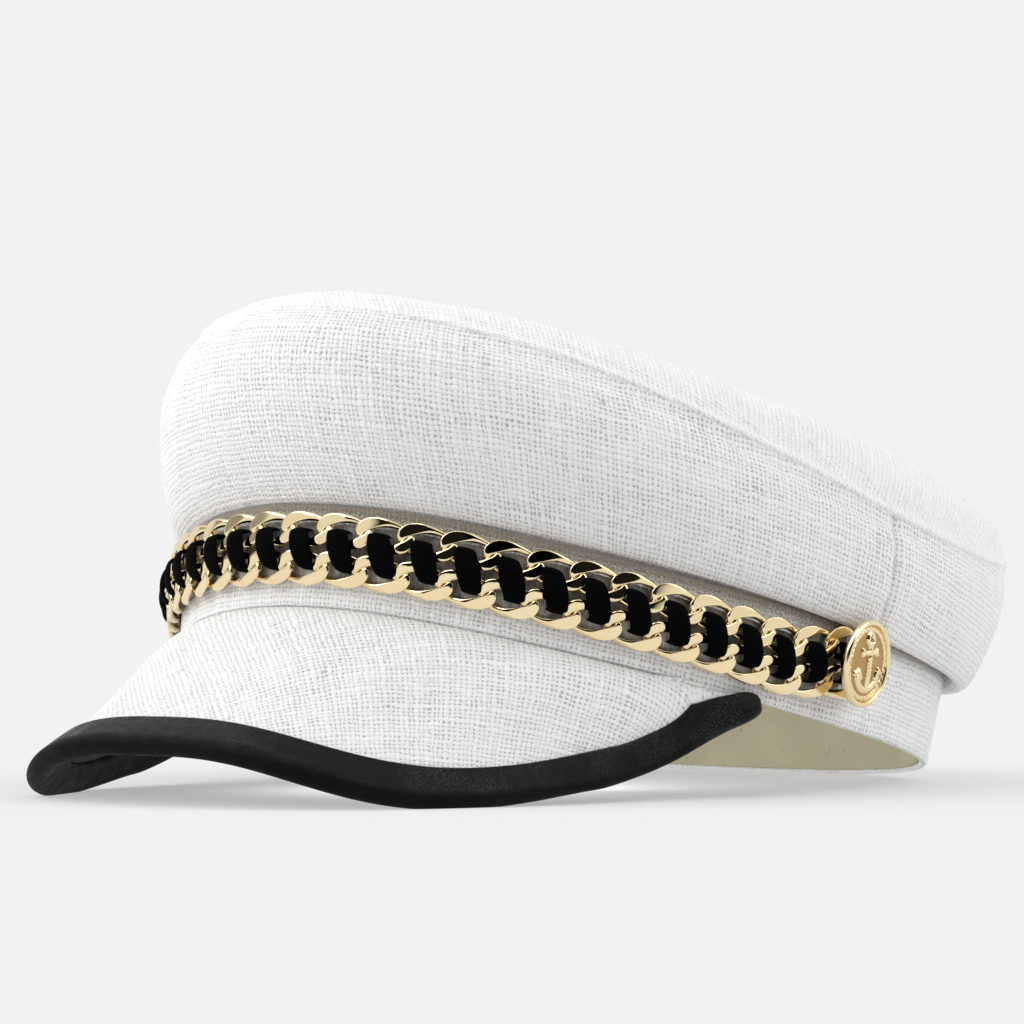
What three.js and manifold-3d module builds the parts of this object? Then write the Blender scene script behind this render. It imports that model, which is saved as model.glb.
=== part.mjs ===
// A soft military cap: full linen crown, head band, short peak bound in leather, and a trim of
// two gold curb chains laced together with velvet ribbon between two gold buttons.
// Millimetres, +Z up. The front looks along -Y and the wearer's left is +X. The cap stands on
// z = 0 by itself, on the two lobes of its peak and the back of its band.
import * as THREE from 'three';
import Module from 'manifold-3d';

const wasm = await Module();
wasm.setup();

// Angles round the cap, phi, are in degrees: 0 at the back, 90 at the wearer's left, 180 in front.
// A wave is a value that changes smoothly round the cap, as a mean and cosines of phi.

// Gap that separate pieces keep where they meet
const GAP = 0.3;

// Head band: an egg-shaped ring that leans back until its rear edge is down on the surface
const BAND = { halfWidth: 85.5, halfLength: 101.4, egg: 0.065, flare: 0.073, thick: 2, height: 24, tilt: 12.7 };
const BAND_EDGE = { twice: 2.94, thrice: -0.21, fourth: 0.13 };
const FLATTENED = 0.65;

// Sweatband inside the head band
const SWEATBAND = { thick: 1, low: 0.8, high: 21.5 };

// Crown: side panels from the foot seam up to the top seam, then the domed top panel
const CLOTH = 1.5;
const FOOT_SEAM = { out: 1.75, height: { mean: 24.8, once: 0.1 } };
const FOOT_HANDLE = { out: { mean: 4.3, once: 2.4 }, up: { mean: -5.4, once: -6.8, twice: -0.4 } };
const TOP_SEAM = {
  halfWidth: 91.6, halfLength: 116.2, centreY: -0.2, egg: 0.17,
  height: { mean: 59.4, once: -4.5, twice: 10.6, thrice: 3.6 },
};
const TOP_HANDLE = { out: { mean: 7.4, once: -8.8, twice: 0.7 }, up: { mean: -17.5, once: -5.2, twice: -3 } };
const DOME = { centreY: 10.6, centreHeight: 73.7, fall: 4.7, pillow: 13.5 };
// Angle of the side seams, and how far the band's wall goes for each degree there, in mm
const SIDE_SEAM = { phi: 88, perDegree: 1.7 };

// Peak: a crescent sheet. turn, in degrees, goes from its middle, 0, to its ends
const PEAK = {
  endTurn: 84, endPhi: 104.5, halfWidth: 76.3, reach: 181.4, centreY: 31.6,
  roundness: { across: 0.663, along: 0.735 },
  rootOut: -1, rootUp: -2.1,
  bow: { mean: 10.8, once: -12, twice: 3.8 }, bowLean: 3.3, fullBowDepth: 30,
};
// Height of the peak's rim over the surface, by powers of the squared sine of the turn
const RIM_HEIGHT = { middle: 12.33, first: -54.23, second: 66.36, third: -14.29 };
// The rim closes on the band at the ends of the peak
const RIM_CLOSING = { fromTurn: 62.2, power: 0.86, lastOut: 2, lastDown: 1 };
const PEAK_TOP = { low: 0.22, high: 1.22 };
const PEAK_UNDER = { low: -1.22, high: -0.22 };
const BINDING = { width: 9.3, radius: 2.6, hollow: 1.6, sink: 0.85, clear: 1 };

// Trim: both chains, the ribbon and the buttons follow one line round the front of the band
const TRIM = {
  height: { mean: 9.2, once: -4.74, twice: -0.9 },
  standOff: 2.95, pitch: 9.95, linksEachSide: 15, chainApart: 8.8, riseFrom: 126, riseTo: 148.8, rise: 4,
};
const LINK = {
  halfLength: 6.2, halfHeight: 3.1, twist: 0.9, lean: 0.02,
  wireHalfWidth: 1.15, wireHalfDepth: 0.8, firstSide: 0.65,
};
const RIBBON = { back: -2.5, front: -1.8, stripHalfHeight: 5.2, stitchHalfWidth: 2, slant: 0.35 };

// Button, and where its middle is on the band
const BUTTON = {
  radius: 10.4, phi: 91.8, height: 14.1, out: 9.2, turnBack: 10, leanDown: 8,
  shankRadius: 0.65, shankPhi: 90.6, shankFoot: 0.1, reliefHeight: 0.45,
};

// How finely the faceted solids are cut
const FRONT_STEPS = 17;
const BACK_STEPS = 16;
const LINK_SIDES = 10;
const WIRE_SIDES = 5;
const BUTTON_SIDES = 16;
// Stations of the peak on either side of its middle, by their turn. Its panels stop before the last two.
const PEAK_TURNS = [5, 14, 24, 34, 41.5, 46.7, 53, 59.5, 64.5, 68.5, 72, 76.5, 84];

const radians = THREE.MathUtils.degToRad;
const sin = (degrees) => Math.sin(radians(degrees));
const cos = (degrees) => Math.cos(radians(degrees));
const smooth = (value, from, to) => THREE.MathUtils.smoothstep(value, from, to);

function wave({ mean = 0, once = 0, twice = 0, thrice = 0, fourth = 0 }, phi) {
  return mean + once * cos(phi) + twice * cos(2 * phi) + thrice * cos(3 * phi) + fourth * cos(4 * phi);
}

// Evenly spaced values from first to last, both included
function spread(first, last, steps) {
  return Array.from({ length: steps + 1 }, (_, i) => first + ((last - first) * i) / steps);
}

// A closed surface from vertices and triangles, its faces turned outwards
function closedGeometry(points, triangles) {
  let volume = 0;
  for (const [a, b, c] of triangles) {
    volume += points[a].dot(new THREE.Vector3().crossVectors(points[b], points[c]));
  }
  const outward = volume < 0 ? triangles.map(([a, b, c]) => [a, c, b]) : triangles;
  const geometry = new THREE.BufferGeometry();
  const flat = points.flatMap((p) => [p.x, p.y, p.z]);
  geometry.setAttribute('position', new THREE.Float32BufferAttribute(flat, 3));
  geometry.setIndex(outward.flat());
  return geometry;
}

// A wall between two skins of points, skin[row][column]. A ring closes on its first row.
// From a given column on, each facet is cut across the other way.
function wall(outer, inner, ring, otherWayFrom = Infinity) {
  const rows = outer.length;
  const columns = outer[0].length;
  const points = [];
  const numbers = new Map();
  const numberOf = (point) => {
    const key = [point.x, point.y, point.z].map((value) => value.toFixed(4)).join(' ');
    if (!numbers.has(key)) {
      numbers.set(key, points.length);
      points.push(point);
    }
    return numbers.get(key);
  };
  const out = outer.map((row) => row.map(numberOf));
  const inn = inner.map((row) => row.map(numberOf));
  const triangles = [];
  const quad = (a, b, c, d, otherWay = false) => {
    for (const face of otherWay ? [[a, b, d], [b, c, d]] : [[a, b, c], [a, c, d]]) {
      if (new Set(face).size === 3) triangles.push(face);
    }
  };
  for (let i = 0; i < (ring ? rows : rows - 1); i += 1) {
    const next = (i + 1) % rows;
    for (let j = 0; j < columns - 1; j += 1) {
      const otherWay = j >= otherWayFrom;
      quad(out[i][j], out[next][j], out[next][j + 1], out[i][j + 1], otherWay);
      quad(inn[i][j], inn[i][j + 1], inn[next][j + 1], inn[next][j], otherWay);
    }
    quad(out[i][0], inn[i][0], inn[next][0], out[next][0]);
    const last = columns - 1;
    quad(out[i][last], out[next][last], inn[next][last], inn[i][last]);
  }
  for (const [row, turned] of ring ? [] : [[0, false], [rows - 1, true]]) {
    for (let j = 0; j < columns - 1; j += 1) {
      const corners = [out[row][j], out[row][j + 1], inn[row][j + 1], inn[row][j]];
      quad(...(turned ? corners.reverse() : corners));
    }
  }
  return closedGeometry(points, triangles);
}

// Unit normal of a surface given by a function of an angle and a part, on its outer side
function normalOf(surface, angle, part) {
  const [step, stride] = [0.5, 0.01];
  const alongAngle = surface(angle + step, part).sub(surface(angle - step, part));
  const alongPart = surface(angle, part + stride).sub(surface(angle, part - stride));
  return alongPart.cross(alongAngle).normalize();
}

function toSolid(geometry) {
  return new wasm.Manifold(new wasm.Mesh({
    numProp: 3,
    vertProperties: new Float32Array(geometry.attributes.position.array),
    triVerts: new Uint32Array(geometry.index.array),
  }));
}

function toGeometry(solid) {
  const { vertProperties, triVerts } = solid.getMesh();
  const geometry = new THREE.BufferGeometry();
  geometry.setAttribute('position', new THREE.BufferAttribute(new Float32Array(vertProperties), 3));
  geometry.setIndex(new THREE.BufferAttribute(new Uint32Array(triVerts), 1));
  return geometry;
}

function fuse(geometries) {
  const solids = geometries.map(toSolid);
  return toGeometry(solids.reduce((whole, solid) => whole.add(solid)));
}

// Point of the band's ring, moved outwards and up from its lower outer edge
function ringPoint(phi, out, up) {
  const width = BAND.halfWidth * (1 + BAND.egg * cos(phi));
  const dx = width * cos(phi) - BAND.halfWidth * BAND.egg * sin(phi) ** 2;
  const dy = -BAND.halfLength * sin(phi);
  const length = Math.hypot(dx, dy);
  return new THREE.Vector3(
    width * sin(phi) - (out * dy) / length,
    BAND.halfLength * cos(phi) + (out * dx) / length,
    wave(BAND_EDGE, phi) + up,
  );
}

// The cap leans back by the band's tilt, and its rear edge is pressed slightly flat
const LIFT = BAND.halfLength * sin(BAND.tilt) - wave(BAND_EDGE, 0) * cos(BAND.tilt) - FLATTENED;

function standUp(point) {
  return point.clone().applyAxisAngle(new THREE.Vector3(1, 0, 0), -radians(BAND.tilt))
    .add(new THREE.Vector3(0, 0, LIFT));
}

// What would reach below a height is pressed flat at it
const pressed = (point, height = 0) => new THREE.Vector3(point.x, point.y, Math.max(point.z, height));

// Stations round the cap that the band and the crown share, so that their facets run parallel
const frontPhis = spread(SIDE_SEAM.phi, 360 - SIDE_SEAM.phi, FRONT_STEPS);
const backPhis = spread(-SIDE_SEAM.phi, SIDE_SEAM.phi, BACK_STEPS);
const allPhis = [...frontPhis.slice(0, -1), ...backPhis.slice(0, -1)];

function bandRing(outside, inside, low, high) {
  const skin = (out) => allPhis.map((phi) => [low, high].map((up) => (
    pressed(standUp(ringPoint(phi, out + BAND.flare * up, up)))
  )));
  return wall(skin(outside), skin(inside), true);
}

function footPoint(phi) {
  return ringPoint(phi, FOOT_SEAM.out, wave(FOOT_SEAM.height, phi));
}

function topSeamPoint(phi) {
  return new THREE.Vector3(
    TOP_SEAM.halfWidth * sin(phi) * (1 + TOP_SEAM.egg * cos(phi)),
    TOP_SEAM.centreY + TOP_SEAM.halfLength * cos(phi),
    wave(TOP_SEAM.height, phi),
  );
}

// Side of the crown: from the foot seam, part 0, outwards, down and round up to the top seam, part 1
function sidePoint(phi, part) {
  const outward = ringPoint(phi, 1, 0).sub(ringPoint(phi, 0, 0));
  const handle = (point, { out, up }) => point.clone()
    .addScaledVector(outward, wave(out, phi))
    .add(new THREE.Vector3(0, 0, wave(up, phi)));
  const foot = footPoint(phi);
  const top = topSeamPoint(phi);
  const curve = new THREE.CubicBezierCurve3(foot, handle(foot, FOOT_HANDLE), handle(top, TOP_HANDLE), top);
  return standUp(curve.getPoint(part));
}

// Top of the crown: from the top seam, part 0, to its middle, part 1
function topPoint(phi, part) {
  const reach = 1 - part;
  const seam = topSeamPoint(phi);
  const middle = new THREE.Vector3(0, DOME.centreY, DOME.centreHeight);
  const point = middle.clone().lerp(seam, reach);
  point.z = middle.z + (seam.z - middle.z) * reach ** DOME.fall;
  point.z += DOME.pillow * 4 * reach ** 6 * (1 - reach ** 2);
  return standUp(point);
}

const UP = new THREE.Vector3(0, 0, 1);
const outwardAt = (phi) => standUp(ringPoint(phi, 1, 0)).sub(standUp(ringPoint(phi, 0, 0)));
const sideNormal = (phi, part) => normalOf(sidePoint, phi, part);
const topNormal = (phi, part) => normalOf(topPoint, phi, part);

// Both walls end on the same slanted plane at the top seam
function topSeamInset(phi) {
  const side = sideNormal(phi, 0.99);
  const top = topNormal(phi, 0.01);
  return side.clone().add(top).multiplyScalar(-CLOTH / (1 + side.dot(top)));
}

function sidePanel(phis) {
  const parts = [0, 0.08, 0.22, 0.46, 0.74, 1];
  const trimmed = (phi, part) => {
    const lastStretch = sidePoint(phi, 1).distanceTo(sidePoint(phi, 0.98));
    return part === 1 ? 1 - (0.02 * GAP) / 2 / lastStretch : part;
  };
  const outer = phis.map((phi) => parts.map((part) => sidePoint(phi, trimmed(phi, part))));
  const inner = phis.map((phi, i) => parts.map((part, j) => {
    if (part === 1) return outer[i][j].clone().add(topSeamInset(phi));
    return outer[i][j].clone().addScaledVector(sideNormal(phi, Math.max(part, 0.01)), -CLOTH);
  }));
  return wall(outer, inner, false);
}

function topPanel() {
  const parts = [0, 0.05, 0.18, 0.5, 1];
  const trimmed = (phi, part) => {
    const firstStretch = topPoint(phi, 0).distanceTo(topPoint(phi, 0.01));
    return part === 0 ? (0.01 * GAP) / 2 / firstStretch : part;
  };
  const outer = allPhis.map((phi) => parts.map((part) => topPoint(phi, trimmed(phi, part))));
  const inner = allPhis.map((phi, i) => parts.map((part, j) => {
    if (part === 0) return outer[i][j].clone().add(topSeamInset(phi));
    const inset = part === 1 ? UP : topNormal(phi, part);
    return outer[i][j].clone().addScaledVector(inset, -CLOTH);
  }));
  return wall(outer, inner, true);
}

// Root of the peak, tucked under the band's lower edge, or a point beside it, further out and down
function peakRoot(turn, out = 0, down = 0) {
  const phi = 180 - (turn * (180 - PEAK.endPhi)) / PEAK.endTurn;
  return standUp(ringPoint(phi, PEAK.rootOut + out, PEAK.rootUp - down));
}

// Rim of the peak: the middle line of the rolled leather edge
function peakRim(turn) {
  const s = sin(Math.abs(turn));
  const squared = s * s;
  const rise = RIM_HEIGHT.middle + RIM_HEIGHT.first * squared
    + RIM_HEIGHT.second * squared ** 2 + RIM_HEIGHT.third * squared ** 3;
  const open = new THREE.Vector3(
    Math.sign(turn) * PEAK.halfWidth * s ** PEAK.roundness.across,
    PEAK.centreY - PEAK.reach * cos(turn) ** PEAK.roundness.along,
    rise + BINDING.radius - BINDING.sink,
  );
  const away = peakRoot(turn, RIM_CLOSING.lastOut, RIM_CLOSING.lastDown);
  return open.lerp(away, smooth(Math.abs(turn), RIM_CLOSING.fromTurn, PEAK.endTurn) ** RIM_CLOSING.power);
}

// How far the sheet bows at a part, as a share of its full bow, which lies nearer the root
function bowShare(part) {
  const fullest = 1 / (1 + PEAK.bowLean);
  const shape = (at) => Math.max(at, 0) * Math.max(1 - at, 0) ** PEAK.bowLean;
  return shape(part) / shape(fullest);
}

// Middle sheet of the peak, from its root, part 0, to its rim, part 1
function peakSheet(turn, part) {
  const root = peakRoot(turn);
  const across = peakRim(turn).sub(root);
  const along = peakRim(turn + 0.5).sub(peakRim(turn - 0.5));
  const normal = new THREE.Vector3().crossVectors(along, across).normalize();
  if (normal.z < 0) normal.negate();
  const bow = wave(PEAK.bow, turn) * Math.min(1, across.length() / PEAK.fullBowDepth);
  return root.addScaledVector(across, part).addScaledVector(normal, bow * bowShare(part));
}

const peakDepth = (turn) => peakRim(turn).distanceTo(peakRoot(turn));
const peakNormal = (turn, part) => normalOf(peakSheet, turn, part);
const peakLayer = (turn, part, level) => peakSheet(turn, part).addScaledVector(peakNormal(turn, part), level);

const peakTurns = [...PEAK_TURNS.map((turn) => -turn).reverse(), 0, ...PEAK_TURNS];
// How much of the peak's depth the leather covers, most of it near the ends
const coveredShare = (turn) => Math.min(BINDING.width / peakDepth(turn), 0.8);
// Under the leather the peak is straight across, from the leather's inner edge, share 0, to the rim, share 1
const coveredLayer = (turn, share, level) => (
  peakLayer(turn, 1 - coveredShare(turn), level).lerp(peakLayer(turn, 1, level), share)
);

// A layer of the peak between two levels over its middle sheet, ending inside the binding
function peakPanel({ low, high }) {
  const skin = (level) => peakTurns.slice(2, -2).map((turn) => {
    const bare = 1 - coveredShare(turn);
    const insideRim = 1 - BINDING.clear / BINDING.width;
    return [
      peakLayer(turn, 0, level),
      peakLayer(turn, bare / 2, level),
      coveredLayer(turn, 0, level),
      coveredLayer(turn, insideRim, level),
    ];
  });
  return wall(skin(high), skin(low), false);
}

// Leather folded round the rim: legs along both faces of the peak, joined by a rolled edge
function peakBinding() {
  const rolls = [90, 35, -15, -63, -90];
  const skin = (radius) => peakTurns.map((turn) => {
    const rim = peakRim(turn);
    const normal = peakNormal(turn, 1);
    const outward = peakSheet(turn, 1).sub(peakSheet(turn, 0.98)).normalize();
    const roll = (angle) => rim.clone()
      .addScaledVector(outward, radius * cos(angle))
      .addScaledVector(normal, radius * sin(angle));
    const section = [coveredLayer(turn, 0, radius), ...rolls.map(roll), coveredLayer(turn, 0, -radius)];
    return section.map((point) => pressed(point, BINDING.radius - radius));
  });
  return wall(skin(BINDING.radius), skin(BINDING.hollow), false, rolls.length);
}

// Where the trim's line is, by its length from the front, towards the wearer's left when positive
const trackRows = (() => {
  const rows = [{ phi: 180, length: 0 }];
  const at = (phi) => ringPoint(phi, TRIM.standOff, 0).setZ(0);
  for (let phi = 179.5; phi > 60; phi -= 0.5) {
    const last = rows[rows.length - 1];
    rows.push({ phi, length: last.length + at(phi).distanceTo(at(last.phi)) });
  }
  return rows;
})();

function trackPhi(length) {
  const reach = Math.abs(length);
  const i = trackRows.findIndex((row) => row.length >= reach) || 1;
  const [before, after] = [trackRows[i - 1], trackRows[i]];
  const share = (reach - before.length) / (after.length - before.length);
  const phi = THREE.MathUtils.lerp(before.phi, after.phi, share);
  return length < 0 ? 360 - phi : phi;
}

// Point of the trim: along its line, up from its middle, and out from the chains' middle plane
function trimPoint(along, up, out) {
  const phi = trackPhi(along);
  const height = wave(TRIM.height, phi) + up + TRIM.rise * smooth(Math.abs(along), TRIM.riseFrom, TRIM.riseTo);
  return standUp(ringPoint(phi, BAND.flare * height + TRIM.standOff + out, height));
}

const linkMiddles = spread(-TRIM.linksEachSide + 0.5, TRIM.linksEachSide - 0.5, 2 * TRIM.linksEachSide - 1)
  .map((count) => count * TRIM.pitch);

// One twisted oval link: its upper front and lower back corners stand forward
function curbLink(middle, level) {
  const centre = (turn) => new THREE.Vector3(
    LINK.halfLength * cos(turn),
    LINK.halfHeight * sin(turn),
    LINK.lean * LINK.halfLength * cos(turn) - LINK.twist * sin(2 * turn),
  );
  const points = [];
  const triangles = [];
  for (let i = 0; i < LINK_SIDES; i += 1) {
    const turn = (360 * (i + LINK.firstSide)) / LINK_SIDES;
    const tangent = centre(turn + 1).sub(centre(turn - 1)).normalize();
    const across = new THREE.Vector3(tangent.y, -tangent.x, 0).normalize();
    const depth = new THREE.Vector3().crossVectors(across, tangent);
    for (let j = 0; j < WIRE_SIDES; j += 1) {
      const roll = 90 + (360 * j) / WIRE_SIDES;
      const p = centre(turn)
        .addScaledVector(across, LINK.wireHalfWidth * cos(roll))
        .addScaledVector(depth, LINK.wireHalfDepth * sin(roll));
      points.push(trimPoint(middle + p.x, level + p.y, p.z));
      const next = ((i + 1) % LINK_SIDES) * WIRE_SIDES;
      const beside = (j + 1) % WIRE_SIDES;
      const corners = [i * WIRE_SIDES + j, next + j, next + beside, i * WIRE_SIDES + beside];
      triangles.push([corners[0], corners[1], corners[2]], [corners[0], corners[2], corners[3]]);
    }
  }
  return closedGeometry(points, triangles);
}

const curbChain = (level) => fuse(linkMiddles.map((middle) => curbLink(middle, level)));

// Ribbon: a strip behind the chains, and one slanted stitch over the inner sides of each pair of links
function velvetRibbon() {
  const end = linkMiddles[linkMiddles.length - 1] + RIBBON.stitchHalfWidth;
  const heights = [-RIBBON.stripHalfHeight, RIBBON.stripHalfHeight];
  const between = spread(1 - TRIM.linksEachSide, TRIM.linksEachSide - 1, 2 * TRIM.linksEachSide - 2)
    .map((count) => count * TRIM.pitch);
  const skin = (out) => [-end, ...between, end].map((along) => heights.map((up) => trimPoint(along, up, out)));
  const strip = wall(skin(RIBBON.front), skin(RIBBON.back), false);
  const arch = [
    { up: 4.9, outer: -2.2, innerUp: 3.8, inner: -2.2 },
    { up: 4, outer: 2.9, innerUp: 3.2, inner: 2.1 },
    { up: -4, outer: 2.9, innerUp: -3.2, inner: 2.1 },
    { up: -4.9, outer: -2.2, innerUp: -3.8, inner: -2.2 },
  ];
  const stitch = (middle) => {
    const edges = [-RIBBON.stitchHalfWidth, RIBBON.stitchHalfWidth];
    const along = (offset, up) => middle + offset - (RIBBON.slant * up) / arch[0].up;
    const outer = edges.map((edge) => arch.map(({ up, outer: out }) => trimPoint(along(edge, up), up, out)));
    const inner = edges.map((edge) => arch.map((row) => (
      trimPoint(along(edge, row.innerUp), row.innerUp, row.inner)
    )));
    return wall(outer, inner, false);
  };
  return fuse([strip, ...linkMiddles.map(stitch)]);
}

// A plain anchor in low relief, and the domed disc with a rolled rim that carries it
function buttonGeometry() {
  const r = BUTTON.radius;
  const profile = [[0, -0.8], [r - 0.9, -0.8], [r, 0.1], [r - 0.6, 0.9], [r - 1.7, 0.5], [0, 1.6]];
  const disc = new THREE.LatheGeometry(profile.map(([x, y]) => new THREE.Vector2(x, y)), BUTTON_SIDES);
  const bar = (width, height, x, y, turn) => {
    const geometry = new THREE.BoxGeometry(width, height, 1.4);
    geometry.rotateZ(radians(turn));
    geometry.translate(x, y, 0.9 + BUTTON.reliefHeight);
    return geometry;
  };
  const anchor = [
    bar(0.9, 8.6, 0, -0.4, 0),
    bar(4.4, 0.9, 0, 2.5, 0),
    bar(0.9, 4.2, -2, -3.3, 52),
    bar(0.9, 4.2, 2, -3.3, -52),
  ];
  disc.rotateX(Math.PI / 2);
  return { disc, anchor };
}

function weld(geometry) {
  const points = [];
  const numbers = new Map();
  const { position } = geometry.attributes;
  const remap = Array.from({ length: position.count }, (_, i) => {
    const point = new THREE.Vector3().fromBufferAttribute(position, i);
    const key = point.toArray().map((value) => (Math.round(value * 1e4) || 0)).join(' ');
    if (!numbers.has(key)) {
      numbers.set(key, points.length);
      points.push(point);
    }
    return numbers.get(key);
  });
  const triangles = [];
  for (let i = 0; i < geometry.index.count; i += 3) {
    const face = [0, 1, 2].map((k) => remap[geometry.index.getX(i + k)]);
    if (new Set(face).size === 3) triangles.push(face);
  }
  return closedGeometry(points, triangles);
}

// side is 1 for the wearer's left and -1 for the right
function placeButton(mesh, side) {
  const phi = side > 0 ? BUTTON.phi : 360 - BUTTON.phi;
  const outward = outwardAt(phi);
  const heading = Math.atan2(outward.y, outward.x) + side * radians(BUTTON.turnBack);
  const facing = new THREE.Vector3(
    Math.cos(heading) * cos(BUTTON.leanDown),
    Math.sin(heading) * cos(BUTTON.leanDown),
    -sin(BUTTON.leanDown),
  );
  const right = new THREE.Vector3().crossVectors(UP, facing).normalize();
  const top = new THREE.Vector3().crossVectors(facing, right);
  mesh.position.copy(standUp(ringPoint(phi, BUTTON.out, BUTTON.height)));
  mesh.quaternion.setFromRotationMatrix(new THREE.Matrix4().makeBasis(right, top, facing));
}

// The shank runs straight in to the band, between the last links of both chains
function shankGeometry(mesh, side) {
  const phi = side > 0 ? BUTTON.shankPhi : 360 - BUTTON.shankPhi;
  const foot = standUp(ringPoint(phi, BAND.flare * BUTTON.height + BUTTON.shankFoot, BUTTON.height));
  const head = standUp(ringPoint(phi, BUTTON.out, BUTTON.height));
  const length = head.distanceTo(foot);
  const shank = new THREE.CylinderGeometry(BUTTON.shankRadius, BUTTON.shankRadius, length, 6);
  const direction = head.clone().sub(foot).normalize();
  shank.applyQuaternion(new THREE.Quaternion().setFromUnitVectors(new THREE.Vector3(0, 1, 0), direction));
  const middle = head.clone().add(foot).multiplyScalar(0.5);
  shank.translate(middle.x, middle.y, middle.z);
  mesh.updateMatrix();
  shank.applyMatrix4(mesh.matrix.clone().invert());
  return shank;
}

const LINEN = { color: 0xf0efec, roughness: 0.95, metalness: 0 };
const GOLD = { color: 0xd9b45e, roughness: 0.2, metalness: 1 };
const FINISH = {
  linen: LINEN,
  sweat: { color: 0xc9c5a8, roughness: 0.9, metalness: 0 },
  underside: { color: 0x3c3b38, roughness: 0.9, metalness: 0 },
  leather: { color: 0x17171a, roughness: 0.55, metalness: 0 },
  velvet: { color: 0x050505, roughness: 1, metalness: 0 },
  gold: GOLD,
};

function piece(name, finish, geometry) {
  geometry.computeVertexNormals();
  const mesh = new THREE.Mesh(geometry, new THREE.MeshStandardMaterial(FINISH[finish]));
  mesh.name = name;
  return mesh;
}

function button(name, side) {
  const { disc, anchor } = buttonGeometry();
  const mesh = piece(name, 'gold', disc);
  placeButton(mesh, side);
  const parts = [disc, ...anchor, shankGeometry(mesh, side)];
  mesh.geometry = fuse(parts.map(weld));
  mesh.geometry.computeVertexNormals();
  return mesh;
}

const panelEdge = GAP / 2 / SIDE_SEAM.perDegree;
const narrowed = (phis) => [phis[0] + panelEdge, ...phis.slice(1, -1), phis[phis.length - 1] - panelEdge];

const crown = new THREE.Group();
crown.add(
  piece('crown_side_front', 'linen', sidePanel(narrowed(frontPhis))),
  piece('crown_side_back', 'linen', sidePanel(narrowed(backPhis))),
  piece('crown_top', 'linen', topPanel()),
);

const headband = new THREE.Group();
const sweatOut = -BAND.thick - GAP;
headband.add(
  piece('band', 'linen', bandRing(0, -BAND.thick, 0, BAND.height)),
  piece('sweatband', 'sweat', bandRing(sweatOut, sweatOut - SWEATBAND.thick, SWEATBAND.low, SWEATBAND.high)),
);

const peak = new THREE.Group();
peak.add(
  piece('peak_top', 'linen', peakPanel(PEAK_TOP)),
  piece('peak_underside', 'underside', peakPanel(PEAK_UNDER)),
  piece('peak_binding', 'leather', peakBinding()),
);

const trim = new THREE.Group();
trim.add(
  piece('chain_upper', 'gold', curbChain(TRIM.chainApart / 2)),
  piece('chain_lower', 'gold', curbChain(-TRIM.chainApart / 2)),
  piece('velvet_ribbon', 'velvet', velvetRibbon()),
  button('button_left', 1),
  button('button_right', -1),
);

// The origin is on the surface, under the middle of the whole cap
const cap = new THREE.Group();
cap.add(crown, headband, peak, trim);
const middle = new THREE.Box3().setFromObject(cap).getCenter(new THREE.Vector3());
cap.position.set(-middle.x, -middle.y, 0);
cap.updateMatrixWorld(true);

export default cap;
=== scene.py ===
"""A soft linen military cap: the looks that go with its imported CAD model.

The forms come from the same formulas as the CAD solids, in millimetres, in the frame of the band's
ring, with +Z up, the front along -Y and the wearer's left along +X. Angles are in degrees: phi goes
round the cap, 0 at the back, 90 at the wearer's left and 180 in front, and turn goes along the peak,
0 in its middle. Meshes are made in metres in the row frame.
"""

import logging
import math
from dataclasses import dataclass, field
from enum import Enum
from typing import Any, Callable, Sequence

import bmesh
import bpy
import numpy as np
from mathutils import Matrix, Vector

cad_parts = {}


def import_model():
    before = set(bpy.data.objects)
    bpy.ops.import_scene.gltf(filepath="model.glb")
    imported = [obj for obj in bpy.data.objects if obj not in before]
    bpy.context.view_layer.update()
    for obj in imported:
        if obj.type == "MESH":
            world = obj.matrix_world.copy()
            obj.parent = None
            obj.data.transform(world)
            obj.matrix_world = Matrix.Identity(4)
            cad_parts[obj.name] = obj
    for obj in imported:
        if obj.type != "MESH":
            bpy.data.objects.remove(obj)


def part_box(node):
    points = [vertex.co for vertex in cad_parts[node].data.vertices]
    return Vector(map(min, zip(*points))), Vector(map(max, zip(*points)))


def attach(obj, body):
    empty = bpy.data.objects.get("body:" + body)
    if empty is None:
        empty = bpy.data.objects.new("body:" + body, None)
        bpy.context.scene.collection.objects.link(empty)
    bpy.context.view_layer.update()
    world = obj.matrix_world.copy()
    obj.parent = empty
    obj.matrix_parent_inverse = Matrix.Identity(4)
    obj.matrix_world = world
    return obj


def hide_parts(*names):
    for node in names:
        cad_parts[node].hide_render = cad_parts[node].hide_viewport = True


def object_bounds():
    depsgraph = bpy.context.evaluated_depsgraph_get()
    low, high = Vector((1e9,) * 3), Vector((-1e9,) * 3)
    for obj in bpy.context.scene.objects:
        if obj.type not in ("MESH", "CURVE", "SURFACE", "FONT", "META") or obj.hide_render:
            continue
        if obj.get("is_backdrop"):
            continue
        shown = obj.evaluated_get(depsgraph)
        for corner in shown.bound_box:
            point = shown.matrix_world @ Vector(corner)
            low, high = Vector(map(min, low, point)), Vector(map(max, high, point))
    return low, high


LOG = logging.getLogger("cap")
MM = 0.001
BODY = "root"
GRAIN = "Grain"
SHORTEST_WAVE = 0.35
WAVE_PEAK = 1.4
Array = np.ndarray
Socket = bpy.types.NodeSocket
Colour = tuple[float, ...]


# Small functions on arrays


def sin(degrees: Any) -> Any:
    """Sine of an angle in degrees."""
    return np.sin(np.radians(degrees))


def cos(degrees: Any) -> Any:
    """Cosine of an angle in degrees."""
    return np.cos(np.radians(degrees))


def stacked(x: Any, y: Any, z: Any) -> Array:
    """Points from their coordinates, which may be numbers or arrays."""
    return np.stack(np.broadcast_arrays(x, y, z), axis=-1).astype(float)


def unit(vectors: Array) -> Array:
    """Vectors brought to length 1; a vector of no length stays."""
    return vectors / np.maximum(np.linalg.norm(vectors, axis=-1, keepdims=True), 1e-12)


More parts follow.
